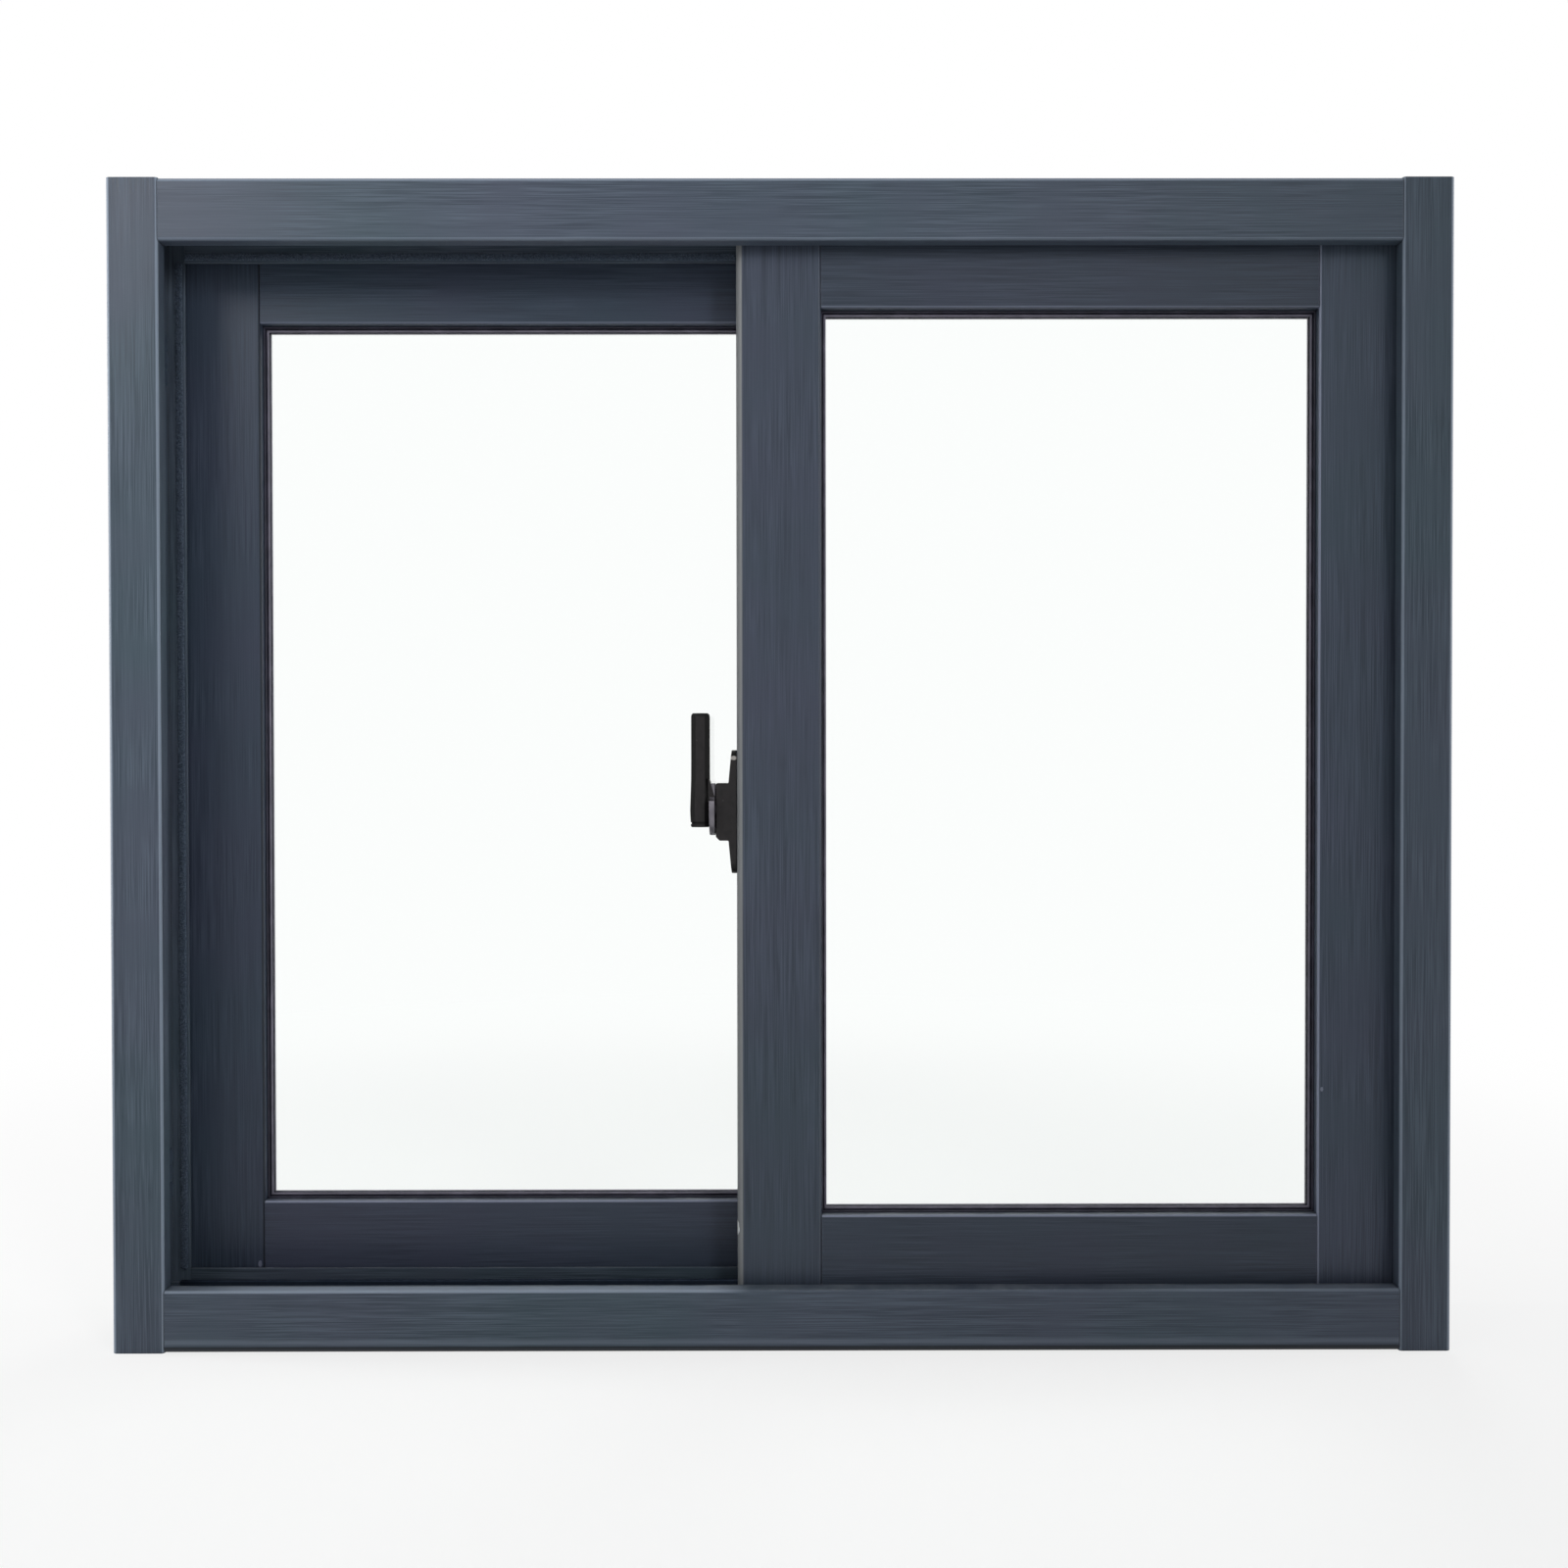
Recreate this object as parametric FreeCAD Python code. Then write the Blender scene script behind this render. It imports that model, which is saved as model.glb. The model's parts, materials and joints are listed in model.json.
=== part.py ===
import FreeCAD, Part
import math
import os

from FreeCAD import Vector

# Two-panel horizontal sliding window. Millimetres, +Z up, X along the width, room side at -Y.
# The origin is at the middle of the base.

# Overall size and the walls of the extruded sections
WIDTH = 1030.0
HEIGHT = 900.0
WALL = 2.0

# Depth of the frame, from the room side to the outside
FRONT_LIP = 14.0
SASH_DEPTH = 30.0
SIDE_GAP = 6.0
CENTRE_RIB = 2.0
BACK_LIP = 10.0

# Faces and channels of the frame
JAMB_FACE = 40.0
JAMB_POCKET = 14.0
HEAD_FACE = 48.0
HEAD_POCKET = 24.0
SILL_FACE = 48.0
SILL_BASE = 22.0
FRAME_EDGE = 4.0
FRAME_ROUND = 2.5
BACK_ROUND = 1.0

# Tracks on the sill
TRACK_RISE = 22.0
TRACK_WEB = 2.0
CAP_WALL = 1.0
CAP_SKIRT = 8.0

# Places of the sashes in the frame
END_GAP = 5.0
MEETING_REACH = 35.0
HEAD_BITE = 14.0
SILL_BITE = 12.0

# Faces of the sash members
STILE_FACE = 66.0
TOP_RAIL_FACE = 60.0
BOTTOM_RAIL_FACE = 64.0
SASH_ROUND = 2.0
MEETING_ROUND = 6.0
EDGE_ROUND = 1.0
TRACK_CLEAR = 5.0

# Glazing
GLASS_THICK = 5.0
GLASS_BITE = 9.0
GLAZING_POCKET = 14.0
GASKET_THICK = 3.0
GASKET_BITE = 6.0
GASKET_SHOW = 4.0
GASKET_BEVEL = 1.4

# Interlock strips between the meeting stiles
HOOK_WALL = 1.5
HOOK_GAP = 1.0
HOOK_ROUND = 0.5
HOOK_TIP = 8.0
HOOK_OFFSET = 6.0
HOOK_BASE = 16.0
HOOK_END_GAP = 5.0

# Rollers in the bottom rails
ROLLER_INSET = 70.0
ROLLER_LENGTH = 60.0
ROLLER_WIDTH = 24.0
ROLLER_DROP = 20.0
ROLLER_WALL = 2.5
WHEEL_RADIUS = 9.0
WHEEL_FLANGE = 2.0
WHEEL_SIDE = 1.7
AXLE_RADIUS = 2.5
ROLL_GAP = 0.3
ROLLER_HEADROOM = 2.2

# Crescent lock on the side of the front meeting stile
LOCK_HEIGHT = 417.0
PLATE_LENGTH = 97.0
PLATE_DROP = 2.0
PLATE_WIDTH = 20.0
PLATE_THICK = 6.5
PLATE_END = 4.2
PLATE_TAPER = 25.0
HOUSING_LENGTH = 45.0
HOUSING_THICK = 10.0
HOUSING_CHAMFER = 3.0
HOUSING_ROUND = 1.0
HOUSING_DROP = 2.0
SPINDLE_RADIUS = 5.0
SPINDLE_FIT = 0.05
CAM_GAP = 0.5
CAM_THICK = 4.5
CAM_RADIUS = 20.6
CAM_BACK = 9.0
CAM_RIM = 5.0
LEVER_THICK = 14.5
LEVER_BULGE = 0.8
LEVER_TIP_WIDTH = 12.0
LEVER_FOOT_WIDTH = 18.0
LEVER_UP = 75.5
LEVER_DOWN = 14.0
LEVER_WAIST = 38.0
LEVER_ROUND = 2.5
LEVER_EDGE = 1.0
FOOT_TOP = 20.5
FOOT_POINT = 9.0
FOOT_LIP = 2.0
FOOT_EDGE = 0.5
FOOT_ROUND = 5.0
FOOT_BLEND = 12.0

# Keeper on the rear meeting stile
KEEPER_LENGTH = 32.0
KEEPER_WALL = 2.0
KEEPER_ROUND = 0.8
KEEPER_SET_BACK = 1.0
KEEPER_REACH = 26.0
KEEPER_SEAT = 9.0

# Weather strips and bumpers
PILE_WIDTH = 5.0
PILE_GAP = 0.5
PILE_INSET = 2.0
BUMPER_HEIGHT = 40.0
BUMPER_WIDTH = 20.0
BUMPER_INSET = 60.0
BUMPER_GAP = 0.3

# Screws and holes
SCREW_RADIUS = 2.1
SCREW_HEAD = 4.2
SCREW_FIT = 0.15
FRAME_SCREW_END = 15.0
SASH_SCREW = 12.0
SASH_SCREW_EDGE = 16.0
LOCK_SCREW = 14.0
LOCK_SCREW_EDGE = 8.0
FIXING_RADIUS = 4.0
FIXING_LOW = 200.0
FIXING_HIGH = 700.0
WEEP_LENGTH = 30.0
WEEP_HEIGHT = 5.0
WEEP_OFFSET = 300.0

# How far a cutter runs past a face, the most of a half width that a rounded end takes, and the
# distance under which two places are the same
CUT_PAST = 1.0
ROUND_SHARE = 0.98
SAME = 0.001

# Places worked out from the sizes
CHANNEL = SASH_DEPTH + 2 * SIDE_GAP
DEPTH = FRONT_LIP + 2 * CHANNEL + CENTRE_RIB + BACK_LIP
FRAME_Y0 = -DEPTH / 2
FRONT_CHANNEL_Y = FRAME_Y0 + FRONT_LIP
RIB_Y = FRONT_CHANNEL_Y + CHANNEL
REAR_CHANNEL_Y = RIB_Y + CENTRE_RIB
BACK_LIP_Y = REAR_CHANNEL_Y + CHANNEL
FRAME_Y1 = BACK_LIP_Y + BACK_LIP
FRONT_SASH_Y = FRONT_CHANNEL_Y + SIDE_GAP
REAR_SASH_Y = REAR_CHANNEL_Y + SIDE_GAP

OUTER_X = WIDTH / 2
CLEAR_X = OUTER_X - JAMB_FACE
POCKET_X = CLEAR_X + JAMB_POCKET
SASH_EDGE_X = POCKET_X - END_GAP
HEAD_Z = HEIGHT - HEAD_FACE
SASH_TOP_Z = HEAD_Z + HEAD_BITE
SASH_BASE_Z = SILL_FACE - SILL_BITE
TOP_RAIL_Z = SASH_TOP_Z - TOP_RAIL_FACE
BOTTOM_RAIL_Z = SASH_BASE_Z + BOTTOM_RAIL_FACE
TRACK_Z = SILL_BASE + TRACK_RISE
CAP_Z = TRACK_Z + CAP_WALL
WHEEL_Z = CAP_Z + ROLL_GAP + WHEEL_RADIUS
ROLLER_Z = WHEEL_Z + WHEEL_RADIUS + WHEEL_FLANGE + ROLLER_HEADROOM + ROLLER_WALL
HOOK_REACH = (REAR_SASH_Y - FRONT_SASH_Y - SASH_DEPTH + 2 * HOOK_WALL + HOOK_GAP) / 2

GLASS_Y = (SASH_DEPTH - GLASS_THICK) / 2
GLAZING_Y = GLASS_Y - GASKET_THICK
RAIL_END_X = SASH_EDGE_X - STILE_FACE
MEETING_END_X = STILE_FACE - MEETING_REACH

LOCK_X = -MEETING_REACH
LOCK_Y = FRONT_SASH_Y + SASH_DEPTH / 2
SPINDLE_X = LOCK_X - PLATE_THICK - HOUSING_THICK
CAM_X = SPINDLE_X - CAM_GAP
LEVER_X = CAM_X - CAM_THICK


def rounded_wire(points, place):
    """Closed outline through (u, v, radius) corners, set in space by place(u, v)."""
    count = len(points)
    starts = []
    ends = []
    middles = []
    for i in range(count):
        u, v, radius = points[i]
        pu, pv = points[i - 1][:2]
        nu, nv = points[(i + 1) % count][:2]
        back = math.hypot(pu - u, pv - v)
        ahead = math.hypot(nu - u, nv - v)
        du, dv = (pu - u) / back, (pv - v) / back
        eu, ev = (nu - u) / ahead, (nv - v) / ahead
        half = math.acos(max(-1.0, min(1.0, du * eu + dv * ev))) / 2
        cut = radius / math.tan(half)
        starts.append((u + du * cut, v + dv * cut))
        ends.append((u + eu * cut, v + ev * cut))
        bu, bv = du + eu, dv + ev
        size = math.hypot(bu, bv)
        reach = radius / math.sin(half) - radius
        sharp = radius < SAME or size < SAME
        middles.append(None if sharp else (u + bu / size * reach, v + bv / size * reach))
    edges = []
    for i in range(count):
        if middles[i]:
            arc = Part.Arc(place(*starts[i]), place(*middles[i]), place(*ends[i]))
            edges.append(arc.toShape())
        after = (i + 1) % count
        edges.append(Part.makeLine(place(*ends[i]), place(*starts[after])))
    return Part.Wire(edges)


def prism(points, place, run):
    """Solid bar with a rounded outline, extruded along run."""
    solid = Part.Face(rounded_wire(points, place)).extrude(run)
    if solid.Volume < 0:
        solid.reverse()
    return solid


def rectangle(u0, v0, u1, v1, radius=0.0):
    return [(u0, v0, radius), (u1, v0, radius), (u1, v1, radius), (u0, v1, radius)]


def box(x0, y0, z0, x1, y1, z1):
    """Box between two opposite corners, given in any order."""
    low = Vector(min(x0, x1), min(y0, y1), min(z0, z1))
    return Part.makeBox(abs(x1 - x0), abs(y1 - y0), abs(z1 - z0), low)


def cylinder(radius, length, base, axis):
    return Part.makeCylinder(radius, length, base, axis)


def join(shapes):
    whole = shapes[0]
    if len(shapes) > 1:
        whole = whole.multiFuse(shapes[1:]).removeSplitter()
    return whole


def screw(point, axis, length, fit=0.0):
    """Countersunk screw with its flat head at point, its shank running along axis."""
    head = Part.makeCone(SCREW_HEAD + fit, SCREW_RADIUS + fit, SCREW_HEAD - SCREW_RADIUS, point, axis)
    return head.fuse(cylinder(SCREW_RADIUS + fit, length, point, axis)).removeSplitter()


# Outer frame

def channel_outline(face, pocket):
    """Frame section in (u, v): u from the outer face to the lips, v from front to back."""
    floor = face - pocket
    front = FRONT_LIP
    rib = FRONT_LIP + CHANNEL
    rear = rib + CENTRE_RIB
    back = rear + CHANNEL
    return [
        (0, 0, FRAME_EDGE), (face, 0, FRAME_ROUND), (face, front, BACK_ROUND), (floor, front, 0),
        (floor, rib, 0), (face, rib, 0), (face, rear, 0), (floor, rear, 0),
        (floor, back, 0), (face, back, BACK_ROUND), (face, DEPTH, BACK_ROUND), (0, DEPTH, BACK_ROUND),
    ]


def inner_round(outer):
    """Radius inside a corner of a section whose outer radius is given."""
    return max(outer - WALL, 0.0)


def channel_hollow(face, pocket):
    """The three linked hollows of a frame section: base, front lip and back lip."""
    floor = face - pocket
    back = DEPTH - BACK_LIP
    far = floor - WALL
    base = [
        (WALL, WALL, inner_round(FRAME_EDGE)), (far, WALL, 0), (far, DEPTH - WALL, 0),
        (WALL, DEPTH - WALL, 0),
    ]
    return [
        base,
        rectangle(floor - 2 * WALL, WALL, face - WALL, FRONT_LIP - WALL),
        rectangle(floor - 2 * WALL, back + WALL, face - WALL, DEPTH - WALL),
    ]


def frame_bar(face, pocket, place, run):
    bar = prism(channel_outline(face, pocket), place, run)
    return bar.cut(join([prism(hollow, place, run) for hollow in channel_hollow(face, pocket)]))


def make_jamb(side):
    """Full-height jamb; side is -1 for the left one and 1 for the right one."""
    def place(u, v):
        return Vector(side * (OUTER_X - u), FRAME_Y0 + v, 0)
    jamb = frame_bar(JAMB_FACE, JAMB_POCKET, place, Vector(0, 0, HEIGHT))
    cutters = [screw(point, axis, length, SCREW_FIT) for point, axis, length in frame_screws(side)]
    inward = Vector(-side, 0, 0)
    for height in (FIXING_LOW, FIXING_HIGH):
        mouth = Vector(side * (OUTER_X + CUT_PAST), rear_centre(), height)
        cutters.append(cylinder(FIXING_RADIUS, JAMB_FACE, mouth, inward))
    return jamb.cut(cutters)


def front_centre():
    return FRONT_SASH_Y + SASH_DEPTH / 2


def rear_centre():
    return REAR_SASH_Y + SASH_DEPTH / 2


def frame_screws(side):
    """Place, direction and length of the screws that hold head and sill to one jamb."""
    inward = Vector(-side, 0, 0)
    length = JAMB_FACE - JAMB_POCKET + FRAME_SCREW_END
    rows = [HEIGHT - (HEAD_FACE - HEAD_POCKET) / 2, SILL_BASE / 2]
    seats = [front_centre(), rear_centre()]
    return [(Vector(side * OUTER_X, y, z), inward, length) for z in rows for y in seats]


def make_frame_screws(side):
    return Part.makeCompound([screw(*seat) for seat in frame_screws(side)])


def make_head():
    def place(u, v):
        return Vector(-POCKET_X, FRAME_Y0 + v, HEIGHT - u)
    head = frame_bar(HEAD_FACE, HEAD_POCKET, place, Vector(2 * POCKET_X, 0, 0))
    return cope(head)


def cope(bar):
    """Trim the ends of a head or sill round the lips and the rib of the jambs."""
    for side in (-1, 1):
        for y0, y1 in ((FRAME_Y0, FRONT_CHANNEL_Y), (RIB_Y, REAR_CHANNEL_Y), (BACK_LIP_Y, FRAME_Y1)):
            bar = bar.cut(box(side * CLEAR_X, y0, 0, side * (POCKET_X + CUT_PAST), y1, HEIGHT))
    return bar


def track_centres():
    return [front_centre(), rear_centre()]


def make_sill():
    def place(u, v):
        return Vector(-POCKET_X, FRAME_Y0 + v, u)
    sill = frame_bar(SILL_FACE, SILL_FACE - SILL_BASE, place, Vector(2 * POCKET_X, 0, 0))
    half = TRACK_WEB / 2
    root = SILL_BASE - WALL / 2
    tracks = [box(-POCKET_X, y - half, root, POCKET_X, y + half, TRACK_Z) for y in track_centres()]
    sill = cope(join([sill] + tracks))
    slots = []
    high = SILL_BASE - WALL
    for middle in (-WEEP_OFFSET, WEEP_OFFSET):
        x0 = middle - WEEP_LENGTH / 2
        slots.append(box(x0, BACK_LIP_Y, high - WEEP_HEIGHT, x0 + WEEP_LENGTH, FRAME_Y1 + CUT_PAST, high))
    return sill.cut(slots)


def make_track_cap(y):
    """Steel cap pressed over the top of a track."""
    half = TRACK_WEB / 2
    cap = box(-CLEAR_X, y - half - CAP_WALL, TRACK_Z - CAP_SKIRT, CLEAR_X, y + half + CAP_WALL, CAP_Z)
    return cap.cut(box(-CLEAR_X, y - half, TRACK_Z - CAP_SKIRT, CLEAR_X, y + half, TRACK_Z))


def pile_seats():
    """Start and end, front to back, of the four pile strips in a frame section."""
    reach = SIDE_GAP - PILE_GAP
    return [
        (FRONT_CHANNEL_Y, FRONT_CHANNEL_Y + reach),
        (RIB_Y - reach, RIB_Y),
        (REAR_CHANNEL_Y, REAR_CHANNEL_Y + reach),
        (BACK_LIP_Y - reach, BACK_LIP_Y),
    ]


def make_head_pile():
    z0 = HEAD_Z + PILE_INSET
    return Part.makeCompound([
        box(-CLEAR_X, y0, z0, CLEAR_X, y1, z0 + PILE_WIDTH) for y0, y1 in pile_seats()
    ])


def make_sill_pile():
    """Only the lips of the sill carry pile; it has no centre rib."""
    seats = pile_seats()
    z1 = SILL_FACE - PILE_INSET
    return Part.makeCompound([
        box(-CLEAR_X, y0, z1 - PILE_WIDTH, CLEAR_X, y1, z1) for y0, y1 in (seats[0], seats[3])
    ])


def make_jamb_pile(side):
    x0 = side * (CLEAR_X + PILE_INSET)
    x1 = side * (CLEAR_X + PILE_INSET + PILE_WIDTH)
    return Part.makeCompound([
        box(x0, y0, SILL_FACE, x1, y1, HEAD_Z) for y0, y1 in pile_seats()
    ])


def make_bumpers(side):
    """Rubber stops on the floor of both channels of one jamb, low and high."""
    x0 = side * POCKET_X
    x1 = side * (SASH_EDGE_X + BUMPER_GAP)
    rows = [SILL_FACE + BUMPER_INSET, HEAD_Z - BUMPER_INSET - BUMPER_HEIGHT]
    half = BUMPER_WIDTH / 2
    return Part.makeCompound([
        box(x0, y - half, z, x1, y + half, z + BUMPER_HEIGHT) for z in rows for y in track_centres()
    ])


# Sash members

def sash_outline(face, outer_round):
    """Section in (u, v): u from the outer edge to the glass side, v from front to back."""
    floor = face - GLAZING_POCKET
    front = GLAZING_Y
    back = SASH_DEPTH - GLAZING_Y
    return [
        (0, 0, outer_round), (face, 0, SASH_ROUND), (face, front, 0), (floor, front, 0),
        (floor, back, 0), (face, back, 0), (face, SASH_DEPTH, SASH_ROUND), (0, SASH_DEPTH, EDGE_ROUND),
    ]


def sash_hollows(face, start, outer_round):
    """Hollows of a sash section: the box and the two glazing lips."""
    floor = face - GLAZING_POCKET
    body = [
        (start, WALL, inner_round(outer_round)), (floor - WALL, WALL, 0),
        (floor - WALL, SASH_DEPTH - WALL, 0), (start, SASH_DEPTH - WALL, 0),
    ]
    lips = [
        rectangle(floor - 2 * WALL, WALL, face - WALL, GLAZING_Y - WALL),
        rectangle(floor - 2 * WALL, SASH_DEPTH - GLAZING_Y + WALL, face - WALL, SASH_DEPTH - WALL),
    ]
    return [body] + lips


def sash_bar(face, place, run, outer_round=EDGE_ROUND, start=WALL):
    bar = prism(sash_outline(face, outer_round), place, run)
    hollows = sash_hollows(face, start, outer_round)
    return bar.cut(join([prism(hollow, place, run) for hollow in hollows]))


def make_stile(side, y0, edge_x, outer_round):
    """Stile whose outer edge is at edge_x; side is the way from the glass to that edge."""
    def place(u, v):
        return Vector(edge_x - side * u, y0 + v, SASH_BASE_Z)
    stile = sash_bar(STILE_FACE, place, Vector(0, 0, SASH_TOP_Z - SASH_BASE_Z), outer_round)
    half = TRACK_WEB / 2 + CAP_WALL + TRACK_CLEAR
    middle = y0 + SASH_DEPTH / 2
    notch = box(edge_x + side * CUT_PAST, middle - half, SASH_BASE_Z - CUT_PAST,
                edge_x - side * (STILE_FACE + CUT_PAST), middle + half, CAP_Z + TRACK_CLEAR)
    return stile.cut(notch)


def rail_span(side):
    """Ends of the rails of the sash that closes against the jamb on that side."""
    ends = sorted((side * RAIL_END_X, side * MEETING_END_X))
    return ends[0], ends[1]


def make_top_rail(side, y0):
    x0, x1 = rail_span(side)

    def place(u, v):
        return Vector(x0, y0 + v, SASH_TOP_Z - u)
    return sash_bar(TOP_RAIL_FACE, place, Vector(x1 - x0, 0, 0))


def make_bottom_rail(side, y0):
    """Bottom rail with an open skirt below its box, where the rollers sit."""
    x0, x1 = rail_span(side)

    def place(u, v):
        return Vector(x0, y0 + v, SASH_BASE_Z + u)
    run = Vector(x1 - x0, 0, 0)
    skirt = ROLLER_Z - SASH_BASE_Z
    rail = sash_bar(BOTTOM_RAIL_FACE, place, run, start=skirt + WALL)
    return rail.cut(prism(rectangle(-CUT_PAST, WALL, skirt, SASH_DEPTH - WALL), place, run))


def make_glass(side, y0):
    x0, x1 = rail_span(side)
    grow = GLASS_BITE
    return box(x0 - grow, y0 + GLASS_Y, BOTTOM_RAIL_Z - grow,
               x1 + grow, y0 + GLASS_Y + GLASS_THICK, TOP_RAIL_Z + grow)


def make_gasket(side, y0, outside):
    """Ring of black rubber between the glass and the lips on one side of the pane."""
    x0, x1 = rail_span(side)
    near = y0 + GLASS_Y + GLASS_THICK if outside else y0 + GLAZING_Y
    far = near + GASKET_THICK
    ring = box(x0 - GASKET_BITE, near, BOTTOM_RAIL_Z - GASKET_BITE,
               x1 + GASKET_BITE, far, TOP_RAIL_Z + GASKET_BITE)
    ring = ring.cut(box(x0 + GASKET_SHOW, near, BOTTOM_RAIL_Z + GASKET_SHOW,
                        x1 - GASKET_SHOW, far, TOP_RAIL_Z - GASKET_SHOW))
    open_y = far if outside else near
    lips = []
    for edge in ring.Edges:
        middle = edge.CenterOfMass
        inside = x0 < middle.x < x1 and BOTTOM_RAIL_Z < middle.z < TOP_RAIL_Z
        if inside and abs(middle.y - open_y) < SAME:
            lips.append(edge)
    return ring.makeChamfer(GASKET_BEVEL, lips)


def make_interlock(side, stile_y, way):
    """Hooked strip on the meeting stile; it stands out along way and its tip turns to side."""
    leg = -side * HOOK_OFFSET
    half = HOOK_WALL / 2

    def place(u, v):
        return Vector(leg + side * u, stile_y + way * v, SILL_FACE + HOOK_END_GAP)
    outline = [
        (half, 0, 0), (half, HOOK_REACH - HOOK_WALL, 0), (HOOK_TIP, HOOK_REACH - HOOK_WALL, 0),
        (HOOK_TIP, HOOK_REACH, 0), (-half, HOOK_REACH, HOOK_ROUND), (-half, HOOK_WALL, 0),
        (-HOOK_BASE + half, HOOK_WALL, 0), (-HOOK_BASE + half, 0, 0),
    ]
    return prism(outline, place, Vector(0, 0, HEAD_Z - SILL_FACE - 2 * HOOK_END_GAP))


def make_roller(x, y0):
    """Roller unit seated under the web of the bottom rail: housing, axle and grooved wheel."""
    middle = y0 + SASH_DEPTH / 2
    half = ROLLER_WIDTH / 2
    length = ROLLER_LENGTH / 2
    low = ROLLER_Z - ROLLER_DROP
    housing = box(x - length, middle - half, low, x + length, middle + half, ROLLER_Z)
    past = length + CUT_PAST
    inside = half - ROLLER_WALL
    housing = housing.cut(box(x - past, middle - inside, low - CUT_PAST,
                              x + past, middle + inside, ROLLER_Z - ROLLER_WALL))
    along = Vector(0, 1, 0)
    axle = cylinder(AXLE_RADIUS, ROLLER_WIDTH, Vector(x, middle - half, WHEEL_Z), along)
    groove = TRACK_WEB / 2 + CAP_WALL + ROLL_GAP
    flange = groove + WHEEL_SIDE
    tread = cylinder(WHEEL_RADIUS, 2 * flange, Vector(x, middle - flange, WHEEL_Z), along)
    rims = [cylinder(WHEEL_RADIUS + WHEEL_FLANGE, WHEEL_SIDE, Vector(x, y, WHEEL_Z), along)
            for y in (middle - flange, middle + groove)]
    return join([housing, axle, tread] + rims)


def make_rollers(side, y0):
    x0, x1 = rail_span(side)
    return Part.makeCompound([make_roller(x, y0) for x in (x0 + ROLLER_INSET, x1 - ROLLER_INSET)])


def sash_screws(side, y0):
    """Screws through both outer edges of the stiles into the ends of the rails."""
    seats = []
    middle = y0 + SASH_DEPTH / 2
    rows = [SASH_TOP_Z - SASH_SCREW_EDGE, BOTTOM_RAIL_Z - SASH_SCREW_EDGE]
    for edge, way in ((side * SASH_EDGE_X, -side), (-side * MEETING_REACH, side)):
        for z in rows:
            seats.append((Vector(edge, middle, z), Vector(way, 0, 0), SASH_SCREW))
    return seats


def make_sash_screws(side, y0):
    return Part.makeCompound([screw(*seat) for seat in sash_screws(side, y0)])


def screw_holes(seats):
    return [screw(point, axis, length, SCREW_FIT) for point, axis, length in seats]


# Crescent lock

def lock_screws():
    middle = LOCK_HEIGHT - PLATE_DROP
    reach = PLATE_LENGTH / 2 - LOCK_SCREW_EDGE
    face = LOCK_X - plate_thickness(reach)
    inward = Vector(1, 0, 0)
    return [(Vector(face, LOCK_Y, z), inward, LOCK_SCREW) for z in (middle - reach, middle + reach)]


def plate_thickness(offset):
    """Thickness of the tapered plate at a height off its middle."""
    flat = PLATE_LENGTH / 2 - PLATE_TAPER
    share = max(0.0, (offset - flat) / PLATE_TAPER)
    return PLATE_THICK - (PLATE_THICK - PLATE_END) * share


def make_lock_base():
    """Plate with rounded ends, thinner towards its ends, and the housing of the spindle."""
    middle = LOCK_HEIGHT - PLATE_DROP
    half = PLATE_LENGTH / 2
    flat = half - PLATE_TAPER
    side_view = [
        (0, -half, 0), (PLATE_END, -half, 0), (PLATE_THICK, -flat, 0), (PLATE_THICK, flat, 0),
        (PLATE_END, half, 0), (0, half, 0),
    ]

    def from_side(u, v):
        return Vector(LOCK_X - u, LOCK_Y - PLATE_WIDTH / 2, middle + v)

    def from_front(u, v):
        return Vector(LOCK_X, LOCK_Y + u, middle + v)
    wide = PLATE_WIDTH / 2
    bar = prism(side_view, from_side, Vector(0, PLATE_WIDTH, 0))
    front_view = rectangle(-wide, -half, wide, half, wide * ROUND_SHARE)
    plate = bar.common(prism(front_view, from_front, Vector(-PLATE_THICK, 0, 0)))
    tall = HOUSING_LENGTH / 2
    root = PLATE_THICK / 2
    top = PLATE_THICK + HOUSING_THICK
    body = [
        (root, -tall, 0), (top - HOUSING_CHAMFER, -tall, HOUSING_ROUND),
        (top, HOUSING_CHAMFER - tall, HOUSING_ROUND), (top, tall, HOUSING_ROUND), (root, tall, 0),
    ]

    def from_pivot(u, v):
        return Vector(LOCK_X - u, LOCK_Y - wide, LOCK_HEIGHT - HOUSING_DROP + v)
    housing = prism(body, from_pivot, Vector(0, PLATE_WIDTH, 0))
    mouth = Vector(SPINDLE_X, LOCK_Y, LOCK_HEIGHT)
    bore = cylinder(SPINDLE_RADIUS + SPINDLE_FIT, HOUSING_THICK, mouth, Vector(1, 0, 0))
    return join([plate, housing]).cut([bore] + screw_holes(lock_screws()))


def make_lock_screws():
    return Part.makeCompound([screw(*seat) for seat in lock_screws()])


def make_spindle():
    """Pin from the lever's foot through the crescent, to just short of the bore's floor."""
    foot = Vector(LEVER_X, LOCK_Y, LOCK_HEIGHT)
    return cylinder(SPINDLE_RADIUS, HOUSING_THICK + CAM_THICK, foot, Vector(1, 0, 0))


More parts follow.
